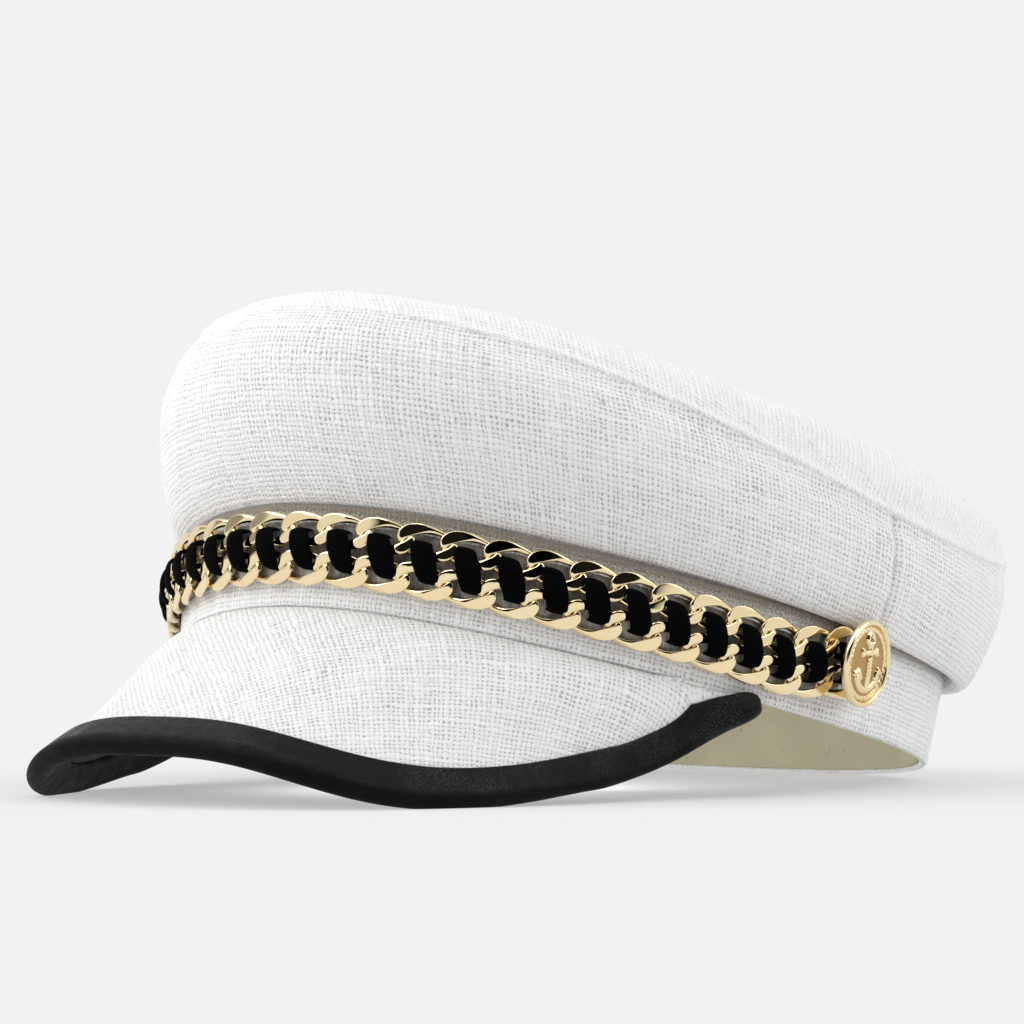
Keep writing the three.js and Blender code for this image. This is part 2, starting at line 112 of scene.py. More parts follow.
def from_back(phi: Any) -> Any:
    """How far an angle round the cap is from the back, 0 to 180 degrees."""
    return np.abs((np.asarray(phi) + 180) % 360 - 180)


def smooth(value: Any, start: float, end: float) -> Any:
    """A smooth step from 0 at start to 1 at end."""
    share = np.clip((np.asarray(value, float) - start) / (end - start), 0, 1)
    return share * share * (3 - 2 * share)


def hill(distance: Any, width: float) -> Any:
    """A smooth hill, 1 high at no distance and low past its width."""
    return np.exp(-((np.asarray(distance, float) / width) ** 2))


def eased(count: int, ends: float) -> Array:
    """Values from 0 to 1, closer together near both ends.

    Args:
        count: how many values there are.
        ends: from 0, evenly spaced, to 1, closest near the ends.
    Returns:
        The values, the first 0 and the last 1.
    """
    even = np.linspace(0, 1, count)
    return ends * (0.5 - 0.5 * np.cos(np.pi * even)) + (1 - ends) * even


def crossed(rows: Any, columns: Any) -> tuple[Array, Array]:
    """Two grids of values: one changes from row to row, the other from column to column."""
    first, second = np.meshgrid(rows, columns, indexing="ij")
    return first, second


def arc_lengths(points: Array, axis: int) -> Array:
    """Length from the first point to each point, along one axis of a grid."""
    steps = np.linalg.norm(np.diff(points, axis=axis), axis=-1)
    return np.concatenate([np.zeros_like(np.take(steps, [0], axis)), np.cumsum(steps, axis)], axis)


def grid_normals(points: Array, ring: bool) -> Array:
    """Outward unit normals of a grid of points, rows round the cap and columns along a part.

    Args:
        points: the grid, rows by columns by 3.
        ring: whether the last row meets the first.
    Returns:
        One unit vector for each point.
    """
    along = np.gradient(points, axis=1)
    around = np.roll(points, -1, 0) - np.roll(points, 1, 0) if ring else np.gradient(points, axis=0)
    return unit(np.cross(along, around))


def waves(first: Array, second: Array, longest: float, seed: int, count: int = 7) -> Array:
    """Smooth irregular waves over two coordinates, about -1 to 1, always the same for one seed.

    Args:
        first: one coordinate, in mm.
        second: the other coordinate, in mm.
        longest: the longest wavelength, in mm.
        seed: picks one of many such patterns.
        count: how many waves are added up.
    Returns:
        The height of the waves at each point.
    """
    random = np.random.default_rng(seed)
    total = np.zeros(np.broadcast(first, second).shape)
    for _ in range(count):
        heading, phase = random.uniform(0, 2 * np.pi, 2)
        wavelength = longest * random.uniform(SHORTEST_WAVE, 1)
        forward = first * np.cos(heading) + second * np.sin(heading)
        total += np.sin(2 * np.pi * forward / wavelength + phase)
    return total / count**0.5 / WAVE_PEAK


@dataclass(frozen=True)
class Ridge:
    """A smooth ridge along a seam, in mm; a groove where its height is negative."""

    height: float
    at: float
    width: float

    def __call__(self, distance: Any) -> Any:
        """Its height at a distance from the seam."""
        return self.height * hill(distance - self.at, self.width)


# Forms, shared with the CAD solids


@dataclass(frozen=True)
class Wave:
    """A value that changes smoothly round the cap: a mean and cosines of the angle."""

    mean: float = 0.0
    once: float = 0.0
    twice: float = 0.0
    thrice: float = 0.0
    fourth: float = 0.0

    def __call__(self, phi: Any) -> Any:
        """The value at an angle in degrees."""
        low = self.mean + self.once * cos(phi) + self.twice * cos(2 * phi)
        return low + self.thrice * cos(3 * phi) + self.fourth * cos(4 * phi)


@dataclass(frozen=True)
class BandForm:
    """The head band's egg-shaped ring, which leans back until its rear edge is down."""

    half_width: float = 85.5
    half_length: float = 101.4
    egg: float = 0.065
    flare: float = 0.073
    thick: float = 2.0
    height: float = 24.0
    tilt: float = 12.7
    flattened: float = 0.65
    edge: Wave = Wave(twice=2.94, thrice=-0.21, fourth=0.13)

    def ring(self, phi: Any, out: Any, up: Any) -> Array:
        """Point of the ring.

        Args:
            phi: the angle round the cap.
            out: how far outwards from its lower outer edge, in mm.
            up: how far up from that edge.
        Returns:
            The point, before the cap is stood up.
        """
        width = self.half_width * (1 + self.egg * cos(phi))
        dx = width * cos(phi) - self.half_width * self.egg * sin(phi) ** 2
        dy = -self.half_length * sin(phi)
        length = np.hypot(dx, dy)
        x = width * sin(phi) - out * dy / length
        y = self.half_length * cos(phi) + out * dx / length
        return stacked(x, y, self.edge(phi) + up)

    def stand(self, points: Array) -> Array:
        """Stands the cap up.

        Args:
            points: points with the band's ring level.
        Returns:
            The points leaned back by the band's tilt and lifted on to the surface.
        """
        lean, rise = sin(self.tilt), cos(self.tilt)
        lift = self.half_length * lean - self.edge(0) * rise - self.flattened
        y = points[..., 1] * rise + points[..., 2] * lean
        z = points[..., 2] * rise - points[..., 1] * lean + lift
        return stacked(points[..., 0], y, z)

    def wall(self, phi: Any, out: Any, up: Any) -> Array:
        """Point of the band's flared wall.

        Args:
            phi: the angle round the cap.
            out: how far out from its outer face, in mm.
            up: how far up from its lower edge.
        Returns:
            The standing point, pressed flat where it would be below 0.
        """
        points = self.stand(self.ring(phi, out + self.flare * np.asarray(up), up))
        points[..., 2] = np.maximum(points[..., 2], 0)
        return points


@dataclass(frozen=True)
class CrownForm:
    """The full crown: its sides, from the foot seam to the top seam, and its domed top."""

    band: BandForm = BandForm()
    foot_out: float = 1.75
    foot_height: Wave = Wave(24.8, 0.1)
    foot_handle_out: Wave = Wave(4.3, 2.4)
    foot_handle_up: Wave = Wave(-5.4, -6.8, -0.4)
    half_width: float = 91.6
    half_length: float = 116.2
    centre_y: float = -0.2
    egg: float = 0.17
    seam_height: Wave = Wave(59.4, -4.5, 10.6, 3.6)
    top_handle_out: Wave = Wave(7.4, -8.8, 0.7)
    top_handle_up: Wave = Wave(-17.5, -5.2, -3.0)
    dome_y: float = 10.6
    dome_height: float = 73.7
    fall: float = 4.7
    pillow: float = 13.5
    side_seam: float = 88.0

    def seam(self, phi: Any) -> Array:
        """Point of the top seam, before the cap is stood up."""
        x = self.half_width * sin(phi) * (1 + self.egg * cos(phi))
        return stacked(x, self.centre_y + self.half_length * cos(phi), self.seam_height(phi))

    def side(self, phi: Array, part: Array) -> Array:
        """Point of the side.

        Args:
            phi: the angle round the cap.
            part: 0 at the foot seam and 1 at the top seam.
        Returns:
            The standing point.
        """
        outward = self.band.ring(phi, 1, 0) - self.band.ring(phi, 0, 0)
        foot = self.band.ring(phi, self.foot_out, self.foot_height(phi))
        top = self.seam(phi)
        rise = stacked(0, 0, 1)
        foot_out, foot_up = self.foot_handle_out(phi)[..., None], self.foot_handle_up(phi)[..., None]
        top_out, top_up = self.top_handle_out(phi)[..., None], self.top_handle_up(phi)[..., None]
        low = foot + outward * foot_out + rise * foot_up
        high = top + outward * top_out + rise * top_up
        t = np.asarray(part, float)[..., None]
        rest = 1 - t
        curve = foot * rest**3 + 3 * low * rest**2 * t + 3 * high * rest * t**2 + top * t**3
        return self.band.stand(curve)

    def top(self, phi: Array, part: Array) -> Array:
        """Point of the domed top.

        Args:
            phi: the angle round the cap.
            part: 0 at the top seam and 1 in the middle.
        Returns:
            The standing point.
        """
        reach = 1 - np.asarray(part, float)
        seam = self.seam(phi)
        x = seam[..., 0] * reach
        y = self.dome_y + (seam[..., 1] - self.dome_y) * reach
        z = self.dome_height + (seam[..., 2] - self.dome_height) * reach**self.fall
        z = z + self.pillow * 4 * reach**6 * (1 - reach**2)
        return self.band.stand(stacked(x, y, z))


@dataclass(frozen=True)
class PeakForm:
    """The short peak: a crescent sheet from its root under the band to its rim.

    Its ends hang deeper than the CAD solid's, whose faces would fold back on themselves there.
    """

    band: BandForm = BandForm()
    end_turn: float = 84.0
    end_phi: float = 104.5
    half_width: float = 76.3
    reach: float = 181.4
    centre_y: float = 31.6
    roundness: tuple[float, float] = (0.663, 0.735)
    root_out: float = -1.0
    root_up: float = -2.1
    bow: Wave = Wave(mean=10.8, once=-12.0, twice=3.8)
    bow_lean: float = 3.3
    full_bow_depth: float = 30.0
    rim_heights: tuple[float, ...] = (12.33, -54.23, 66.36, -14.29)
    closing_from: float = 62.2
    closing_power: float = 0.86
    last_out: float = 2.0
    last_down: float = 3.4
    leather_width: float = 9.3
    leather_radius: float = 2.6
    leather_sink: float = 0.85
    most_covered: float = 0.8
    turn_step: float = 0.5
    part_step: float = 0.01

    def root(self, turn: Array, out: float = 0.0, down: float = 0.0) -> Array:
        """Point of the root under the band's lower edge, or a point further out and down."""
        phi = 180 - turn * (180 - self.end_phi) / self.end_turn
        return self.band.stand(self.band.ring(phi, self.root_out + out, self.root_up - down))

    def rim(self, turn: Array) -> Array:
        """Point of the rim, the middle line of the rolled leather edge.

        Args:
            turn: the angle along the peak.
        Returns:
            The standing point, brought to the root at the peak's ends.
        """
        s = np.abs(sin(turn))
        rise = sum(height * s ** (2 * power) for power, height in enumerate(self.rim_heights))
        across, along = self.roundness
        x = np.sign(turn) * self.half_width * s**across
        y = self.centre_y - self.reach * np.maximum(cos(turn), 0) ** along
        open_rim = stacked(x, y, rise + self.leather_radius - self.leather_sink)
        away = self.root(turn, self.last_out, self.last_down)
        share = smooth(np.abs(turn), self.closing_from, self.end_turn)[..., None] ** self.closing_power
        return open_rim + (away - open_rim) * share

    def bow_share(self, part: Array) -> Array:
        """How much the sheet bows up.

        Args:
            part: 0 at the root and 1 at the rim.
        Returns:
            The share of the full bow, fullest nearer the root.
        """
        fullest = 1 / (1 + self.bow_lean)
        whole = fullest * (1 - fullest) ** self.bow_lean
        return np.maximum(part, 0) * np.maximum(1 - part, 0) ** self.bow_lean / whole

    def sheet(self, turn: Array, part: Array) -> Array:
        """Point of the middle sheet.

        Args:
            turn: the angle along the peak.
            part: 0 at the root and 1 at the rim.
        Returns:
            The standing point.
        """
        root = self.root(turn)
        across = self.rim(turn) - root
        along = self.rim(turn + self.turn_step) - self.rim(turn - self.turn_step)
        normal = unit(np.cross(along, across))
        normal = np.where(normal[..., 2:] < 0, -normal, normal)
        depth = np.linalg.norm(across, axis=-1)
        bow = self.bow(turn) * np.minimum(1, depth / self.full_bow_depth)
        part = np.asarray(part, float)
        return root + across * part[..., None] + normal * (bow * self.bow_share(part))[..., None]

    def normal(self, turn: Array, part: Array) -> Array:
        """Direction of the middle sheet's upper face.

        Args:
            turn: the angle along the peak.
            part: 0 at the root and 1 at the rim.
        Returns:
            The upward unit normal.
        """
        along = self.sheet(turn + self.turn_step, part) - self.sheet(turn - self.turn_step, part)
        across = self.sheet(turn, part + self.part_step) - self.sheet(turn, part - self.part_step)
        return unit(np.cross(across, along))

    def layer(self, turn: Array, part: Array, level: Any) -> Array:
        """Point at a level over the middle sheet."""
        return self.sheet(turn, part) + self.normal(turn, part) * np.asarray(level, float)[..., None]

    def covered(self, turn: Array) -> Array:
        """Share of the peak's depth that the leather covers."""
        depth = np.linalg.norm(self.rim(turn) - self.root(turn), axis=-1)
        return np.minimum(self.leather_width / depth, self.most_covered)

    def under_leather(self, turn: Array, share: Array, level: Any) -> Array:
        """Point under the leather, where the peak is straight.

        Args:
            turn: the angle along the peak.
            share: 0 at the leather's inner edge and 1 at the rim.
            level: how far over the middle sheet, in mm.
        Returns:
            The standing point.
        """
        inner = self.layer(turn, 1 - self.covered(turn), level)
        outer = self.layer(turn, np.ones_like(turn), level)
        return inner + (outer - inner) * np.asarray(share, float)[..., None]


@dataclass(frozen=True)
class TrimForm:
    """The line that both chains, the ribbon and the buttons follow round the front of the band."""

    band: BandForm = BandForm()
    height: Wave = Wave(9.2, -4.74, -0.9)
    stand_off: float = 2.95
    pitch: float = 9.95
    links: int = 30
    chain_apart: float = 8.8
    rise_from: float = 126.0
    rise_to: float = 148.8
    rise: float = 4.0
    last_phi: float = 60.0
    phi_step: float = 0.5

    def phi(self, along: Array) -> Array:
        """Where a length along the trim is.

        Args:
            along: the length from the front in mm, positive towards the wearer's left.
        Returns:
            The angle round the cap.
        """
        phis = np.arange(180, self.last_phi, -self.phi_step)
        flat = self.band.ring(phis, self.stand_off, 0) * np.array([1, 1, 0])
        lengths = arc_lengths(flat[None], 1)[0]
        found = np.interp(np.abs(along), lengths, phis)
        return np.where(np.asarray(along) < 0, 360 - found, found)

    def point(self, along: Array, up: Any, out: Any) -> Array:
        """Point of the trim.

        Args:
            along: the length along its line from the front.
            up: how far up from its middle.
            out: how far out from the chains' middle plane.
        Returns:
            The standing point.
        """
        phi = self.phi(along)
        rise = self.rise * smooth(np.abs(along), self.rise_from, self.rise_to)
        height = self.height(phi) + up + rise
        away = self.band.flare * height + self.stand_off + out
        return self.band.stand(self.band.ring(phi, away, height))


# Meshes


class Placement:
    """Brings points from the ring's frame, in mm, to the row frame, in metres."""

    def __init__(self, band: BandForm) -> None:
        """Finds how far the CAD model moved the ring along Y when it centred the cap."""
        back = band.wall(np.array([0.0]), 0.0, band.height)[0, 1]
        self.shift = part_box("band")[1].y / MM - back

    def __call__(self, points: Array) -> Array:
        """The same points in the row frame."""
        return (points + np.array([0, self.shift, 0])) * MM


@dataclass
class Grid:
    """A surface laid out as rows and columns of points, with its grain in millimetres."""

    points: Array
    grain: Array | None = None
    row_ring: bool = False
    column_ring: bool = False
    flip: bool = False

    def mesh(self, name: str, place: Callable[[Array], Array]) -> bpy.types.Mesh:
        """Makes the mesh, with merged points where a row or column shrinks to one.

        Args:
            name: the mesh's name.
            place: brings the points to the row frame.
        Returns:
            The mesh, shaded smooth, with the grain as its UV map where there is one.
        """
        rows, columns = self.points.shape[:2]
        row_steps = rows if self.row_ring else rows - 1
        column_steps = columns if self.column_ring else columns - 1
        i, j = (steps.ravel() for steps in crossed(range(row_steps), range(column_steps)))
        corners = np.stack([np.stack([i, i + 1, i + 1, i], 1), np.stack([j, j, j + 1, j + 1], 1)], -1)
        if self.flip:
            corners = corners[:, ::-1]
        faces = (corners[..., 0] % rows) * columns + corners[..., 1] % columns
        mesh = bpy.data.meshes.new(name)
        mesh.from_pydata(place(self.points.reshape(-1, 3)).tolist(), [], faces.tolist())
        if self.grain is not None:
            layer = mesh.uv_layers.new(name=GRAIN)
            uv = self.grain[corners[..., 0], corners[..., 1]]
            layer.data.foreach_set("uv", uv.reshape(-1).astype(np.float32))
        weld(mesh)
        mesh.shade_smooth()
        return mesh


def weld(mesh: bpy.types.Mesh, distance: float = 1e-6) -> None:
    """Merges points that lie together, and drops the faces that this closes up.

    Args:
        mesh: the mesh.
        distance: how near together they lie, in metres.
    """
    cloth = bmesh.new()
    cloth.from_mesh(mesh)
    bmesh.ops.remove_doubles(cloth, verts=cloth.verts, dist=distance)
    bmesh.ops.dissolve_degenerate(cloth, edges=cloth.edges, dist=distance / 10)
    cloth.to_mesh(mesh)
    cloth.free()


def add_object(name: str, mesh: bpy.types.Mesh) -> bpy.types.Object:
    """Adds an object to the scene, at the origin.

    Args:
        name: its name.
        mesh: its mesh.
    Returns:
        The object.
    """
    made = bpy.data.objects.new(name, mesh)
    bpy.context.scene.collection.objects.link(made)
    return made


def surface_area(mesh: bpy.types.Mesh) -> float:
    """Adds up a mesh's faces.

    Args:
        mesh: the mesh.
    Returns:
        The area in square metres.
    """
    areas = np.zeros(len(mesh.polygons), np.float32)
    mesh.polygons.foreach_get("area", areas)
    return float(areas.sum())


def add_cloth(name: str, mesh: bpy.types.Mesh, thickness: float) -> bpy.types.Object:
    """Adds a sheet with its thickness, inwards from its outer side.

    Args:
        name: the object's name.
        mesh: its outer side.
        thickness: in mm.
    Returns:
        The object.
    """
    piece = add_object(name, mesh)
    wall = piece.modifiers.new("Wall", "SOLIDIFY")
    wall.thickness = thickness * MM
    wall.offset = -1
    return piece


def unwrapped(points: Array, guess: Array, rounds: int = 500, pull: float = 1.6) -> Array:
    """Flattens a grid of points into the plane, as cloth is cut, by evening out its edge lengths.

    Args:
        points: the grid in mm, rows by columns by 3.
        guess: a first layout in mm, rows by columns by 2.
        rounds: how often the lengths are evened out.
        pull: how far each point goes in a round, where 1 is the mean of what its edges ask.
    Returns:
        The flat layout in mm.
    """
    flat = guess.astype(float).copy()
    links = []
    rows, columns = points.shape[:2]
    number = np.arange(rows * columns).reshape(rows, columns)
    for a, b in (
        (number[:-1], number[1:]),
        (number[:, :-1], number[:, 1:]),
        (number[:-1, :-1], number[1:, 1:]),
        (number[1:, :-1], number[:-1, 1:]),
    ):
        links.append(np.stack([a.ravel(), b.ravel()], 1))
    pairs = np.concatenate(links)
    solid, plane = points.reshape(-1, 3), flat.reshape(-1, 2)
    lengths = np.linalg.norm(solid[pairs[:, 0]] - solid[pairs[:, 1]], axis=1)
    uses = np.bincount(pairs.ravel(), minlength=len(plane))[:, None]
    for _ in range(rounds):
        span = plane[pairs[:, 1]] - plane[pairs[:, 0]]
        now = np.maximum(np.linalg.norm(span, axis=1), 1e-9)
        push = span * ((now - lengths) / now / 2)[:, None]
        move = np.zeros_like(plane)
        np.add.at(move, pairs[:, 0], push)
        np.add.at(move, pairs[:, 1], -push)
        plane += pull * move / uses
    return plane.reshape(guess.shape)


def turned(grain: Array, degrees: float) -> Array:
    """A grain turned in its plane, for cloth that is cut on the cross."""
    c, s = cos(degrees), sin(degrees)
    return grain @ np.array([[c, s], [-s, c]])


# Node trees


class Graph:
    """A node tree that is built by short calls. An input takes a number, a tuple or a socket."""

    def __init__(self, tree: bpy.types.NodeTree) -> None:
        """Works on this tree, emptied first."""
        self.tree = tree
        tree.nodes.clear()

    def add(self, kind: str, inputs: dict[Any, Any] | None = None, **settings: Any) -> bpy.types.Node:
        """Adds a node.

        Args:
            kind: the node's type.
            inputs: values or sockets by the input's name or number.
            settings: the node's own properties.
        Returns:
            The node.
        """
        node = self.tree.nodes.new(kind)
        for name, value in settings.items():
            setattr(node, name, value)
        for key, value in (inputs or {}).items():
            if isinstance(value, bpy.types.NodeSocket):
                self.tree.links.new(value, node.inputs[key])
            else:
                node.inputs[key].default_value = value
        return node

    def math(self, operation: str, first: Any, second: Any = 0.5, third: Any = 0.5) -> Socket:
        """The result of one sum on numbers."""
        inputs = {0: first, 1: second, 2: third}
        return self.add("ShaderNodeMath", inputs, operation=operation).outputs[0]

    def times(self, first: Any, second: Any) -> Socket:
        """The product of two numbers."""
        return self.math("MULTIPLY", first, second)

    def plus(self, total: Any, *others: Any) -> Socket:
        """Adds numbers up.

        Args:
            total: the first number.
            others: the others, in the order in which they are added.
        Returns:
            The sum.
        """
        for other in others:
            total = self.math("ADD", total, other)
        return total

    def swing(self, value: Any, amount: float) -> Socket:
        """A value from 0 to 1 spread over an amount, as far below 0 as above it."""
        return self.math("MULTIPLY_ADD", value, amount, -amount / 2)

    def vector(self, operation: str, first: Any, second: Any = (0, 0, 0)) -> Socket:
        """The result of one sum on vectors.

        Args:
            operation: which sum.
            first: the first vector.
            second: the second vector, or the number that the first is scaled by.
        Returns:
            The result, a number for a length or a dot product.
        """
        inputs = {0: first, "Scale" if operation == "SCALE" else 1: second}
        node = self.add("ShaderNodeVectorMath", inputs, operation=operation)
        return node.outputs["Value" if operation in ("DOT_PRODUCT", "LENGTH") else "Vector"]

    def combine(self, x: Any, y: Any, z: Any = 0.0) -> Socket:
        """A vector from three numbers."""
        return self.add("ShaderNodeCombineXYZ", {0: x, 1: y, 2: z}).outputs[0]

    def apart(self, vector: Any) -> list[Socket]:
        """A vector's three numbers."""
        return self.add("ShaderNodeSeparateXYZ", {0: vector}).outputs[:]

    def remap(
        self, value: Any, low: float, high: float, to_low: float = 0, to_high: float = 1
    ) -> Socket:
        """A value brought smoothly from one range to another and kept in it."""
        inputs = {0: value, 1: low, 2: high, 3: to_low, 4: to_high}
        return self.add("ShaderNodeMapRange", inputs, interpolation_type="SMOOTHSTEP").outputs[0]

    def mix(self, share: Any, first: Any, second: Any) -> Socket:
        """A colour between two colours."""
        node = self.add("ShaderNodeMix", {0: share, 6: first, 7: second}, data_type="RGBA")
        return node.outputs[2]

    def noise(self, where: Any, scale: float, detail: float = 2, rough: float = 0.5) -> Socket:
        """Cloudy noise from 0 to 1."""
        inputs = {"Vector": where, "Scale": scale, "Detail": detail, "Roughness": rough}
        return self.add("ShaderNodeTexNoise", inputs).outputs[0]

    def bump(self, height: Any, distance: float) -> Socket:
        """Normals of a surface raised by a height, where 1 is a distance in mm."""
        inputs = {"Height": height, "Distance": distance * MM, "Strength": 1.0}
        return self.add("ShaderNodeBump", inputs).outputs[0]

    def place(self) -> Socket:
        """The place on the object, in metres."""
        return self.add("ShaderNodeTexCoord").outputs["Object"]

    def grain(self) -> Socket:
        """The place in the piece's grain, in mm."""
        return self.add("ShaderNodeUVMap", uv_map=GRAIN).outputs[0]


class Finish:
    """A material made of nodes; each kind says what goes to its shader."""

    def material(self) -> bpy.types.Material:
        """Builds the material.

        Returns:
            The material, named after the finish.
        """
        made = bpy.data.materials.new(type(self).__name__)
        made.use_nodes = True
        graph = Graph(made.node_tree)
        shader = graph.add("ShaderNodeBsdfPrincipled", self.look(graph))
        graph.add("ShaderNodeOutputMaterial", {0: shader.outputs[0]})
        return made

    def look(self, graph: Graph) -> dict[str, Any]:
        """What goes to the inputs of the Principled shader, by their names."""
        raise NotImplementedError


@dataclass(frozen=True)
class Linen(Finish):
    """White linen in a coarse plain weave with slubs, measured in threads."""

    pitch: float = 1.25
    light: Colour = (0.89, 0.89, 0.89, 1)
    dark: Colour = (0.72, 0.72, 0.718, 1)
    gap: Colour = (0.38, 0.38, 0.38, 1)
    gap_share: float = 0.8
    relief: float = 0.25
    wander: float = 1.3
    wobble: float = 0.6
    jitter: float = 1.1
    slub: float = 1.2
    lone_slub: float = 0.9
    fuzz: float = 1.1
    patches: float = 0.6
    hairs: float = 0.8
    fade: tuple[float, float, float] = (0.02, 0.085, 0.42)
    side_fade: tuple[float, float, float] = (-0.06, 0.02, 0.62)
    # painted shadow: a warm shade painted along the band's upper edge; its strength, colour, reach in mm
    # and ragged edge
    painted_shadow: float = 0.0
    painted_shadow_colour: Colour = (0.2, 0.165, 0.12, 1)
    painted_shadow_reach: tuple[float, float] = (5.2, 1.2)
    painted_shadow_edge: float = 9.0

    def wandering(self, graph: Graph, own: Any, other: Any, seed: float) -> Socket:
        """Threads that are unevenly spaced and not quite straight.

        Args:
            graph: the material's tree.
            own: even place across the threads.
            other: even place along them.
            seed: keeps both ways apart.
        Returns:
            The uneven place across them.
        """
        where = graph.combine(own, other, seed)
        stretched = graph.combine(own, graph.times(other, 0.04), seed + 5.0)
        spacing = graph.math("MULTIPLY_ADD", graph.noise(stretched, 0.55, 1), self.jitter, own)
        far = graph.times(graph.noise(where, 0.07, 3, 0.6), self.wander)
        near = graph.times(graph.noise(where, 0.42, 1), self.wobble)
        return graph.plus(spacing, far, near)

    def thread(self, graph: Graph, own: Any, other: Any, seed: float) -> tuple[Any, Any]:
        """Threads that run one way.

        Args:
            graph: the material's tree.
            own: place across these threads.
            other: place along them.
            seed: keeps both ways apart.
        Returns:
            How thick the thread is here, from 0 between threads to about 1, and its slubs, 0 to 1.
        """
        number = graph.times(graph.math("FLOOR", own), 7.31)
        slub = graph.noise(graph.combine(number, graph.times(other, 0.085), seed), 1.0, 2, 0.6)
        lone = graph.noise(graph.combine(number, graph.times(other, 0.45), seed + 3.7), 1.0, 1)
        thick = graph.math("ABSOLUTE", self.wave(graph, own))
        change = graph.plus(graph.swing(slub, self.slub), graph.swing(lone, self.lone_slub))
        return graph.plus(thick, change), slub

    @staticmethod
    def wave(graph: Graph, across: Any) -> Socket:
        """A wave that changes sign from each thread to the next."""
        return graph.math("SINE", graph.times(across, math.pi))

    def hole(self, graph: Graph, where: Any, thick: Any, fibre: Any) -> Socket:
        """The gaps between the threads.

        Args:
            graph: the material's tree.
            where: place in the weave.
            thick: how thick the thickest thread is here.
            fibre: fine noise.
        Returns:
            From 0 on a thread to 1 in a gap.
        """
        fuzz = graph.swing(graph.noise(where, 0.85, 2, 0.6), self.fuzz)
        patches = graph.swing(graph.noise(where, 0.11, 2), self.patches)
        reach = graph.plus(thick, fuzz, patches, graph.swing(fibre, self.hairs))
        return graph.remap(reach, 0.68, 0.2)

    def shown(self, graph: Graph) -> Socket:
        """How much of the gaps shows.

        Args:
            graph: the material's tree.
        Returns:
            The share, which is lower towards the back and towards the wearer's right.
        """
        aside, back, _ = graph.apart(graph.place())
        start, end, rest = self.fade
        share = graph.remap(back, start, end, self.gap_share, self.gap_share * rest)
        right, middle, least = self.side_fade
        return graph.times(share, graph.remap(aside, right, middle, least, 1))

    def look(self, graph: Graph) -> dict[str, Any]:
        """Threads cross over and under each other, with gaps between them.

        Args:
            graph: the material's tree.
        Returns:
            The shader's inputs.
        """
        sideways, down, _ = graph.apart(graph.grain())
        first = graph.math("DIVIDE", sideways, self.pitch)
        second = graph.math("DIVIDE", down, self.pitch)
        across = self.wandering(graph, first, second, 0.0)
        along = self.wandering(graph, second, first, 7.0)
        warp, warp_slub = self.thread(graph, across, along, 0.0)
        weft, weft_slub = self.thread(graph, along, across, 11.0)
        over = graph.times(self.wave(graph, across), self.wave(graph, along))
        warp_over = graph.remap(over, -0.5, 0.5)
        weft_over = graph.remap(over, 0.5, -0.5)
        where = graph.combine(across, along)
        fibre = graph.noise(where, 3.2, 3, 0.65)
        warp_high = graph.times(warp, graph.math("MULTIPLY_ADD", warp_over, 0.6, 0.4))
        weft_high = graph.times(weft, graph.math("MULTIPLY_ADD", weft_over, 0.6, 0.4))
        height = graph.math("SMOOTH_MAX", warp_high, weft_high, 0.15)
        height = graph.plus(height, graph.times(fibre, 0.5))
        warp_shade, weft_shade = graph.times(warp_over, warp_slub), graph.times(weft_over, weft_slub)
        shade = graph.plus(graph.math("MAXIMUM", warp_shade, weft_shade), graph.swing(fibre, 0.7))
        cloth = graph.mix(graph.remap(shade, 0.05, 0.55), self.dark, self.light)
        hole = self.hole(graph, where, graph.math("MAXIMUM", warp, weft), fibre)
        colour = graph.mix(graph.times(hole, self.shown(graph)), cloth, self.gap)
        # painted shadow along the upper edge, where the crown's fold and the chain shade the band
        if self.painted_shadow:
            colour = self.with_painted_shadow(graph, down, fibre, colour)
        return {
            "Base Color": colour,
            "Roughness": 0.92,
            "Specular IOR Level": 0.2,
            "Sheen Weight": 0.12,
            "Sheen Roughness": 0.5,
            "Normal": graph.bump(height, self.relief),
        }

    def with_painted_shadow(self, graph: Graph, down: Any, fibre: Any, colour: Any) -> Socket:
        """A painted warm shadow on the cloth near its upper edge, for the shade that the crown's fold
        and the gold chain cast there.

        Args:
            graph: the material's tree.
            down: place down from the upper edge, in mm.
            fibre: fine noise.
            colour: the cloth's colour.
        Returns:
            The colour with the painted shadow.
        """
        share = graph.remap(graph.plus(down, graph.swing(fibre, self.painted_shadow_edge)), *self.painted_shadow_reach)
        return graph.mix(graph.times(share, self.painted_shadow), colour, self.painted_shadow_colour)


@dataclass(frozen=True)
class SweatCloth(Finish):
    """Smooth matt beige cloth with a few flecks."""

    light: Colour = (0.50, 0.47, 0.33, 1)
    dark: Colour = (0.40, 0.37, 0.25, 1)
    fleck: Colour = (0.22, 0.18, 0.10, 1)

    def look(self, graph: Graph) -> dict[str, Any]:
        """Cloudy shades and small flecks.

        Args:
            graph: the material's tree.
        Returns:
            The shader's inputs.
        """
        place = graph.place()
        cloth = graph.mix(graph.noise(place, 90, 4), self.dark, self.light)
        flecks = graph.remap(graph.noise(place, 520, 1), 0.725, 0.8, 0, 0.6)
        fibre = graph.noise(place, 2600, 2)
        return {
            "Base Color": graph.mix(flecks, cloth, self.fleck),
            "Roughness": 0.85,
            "Specular IOR Level": 0.25,
            "Normal": graph.bump(fibre, 0.05),
        }


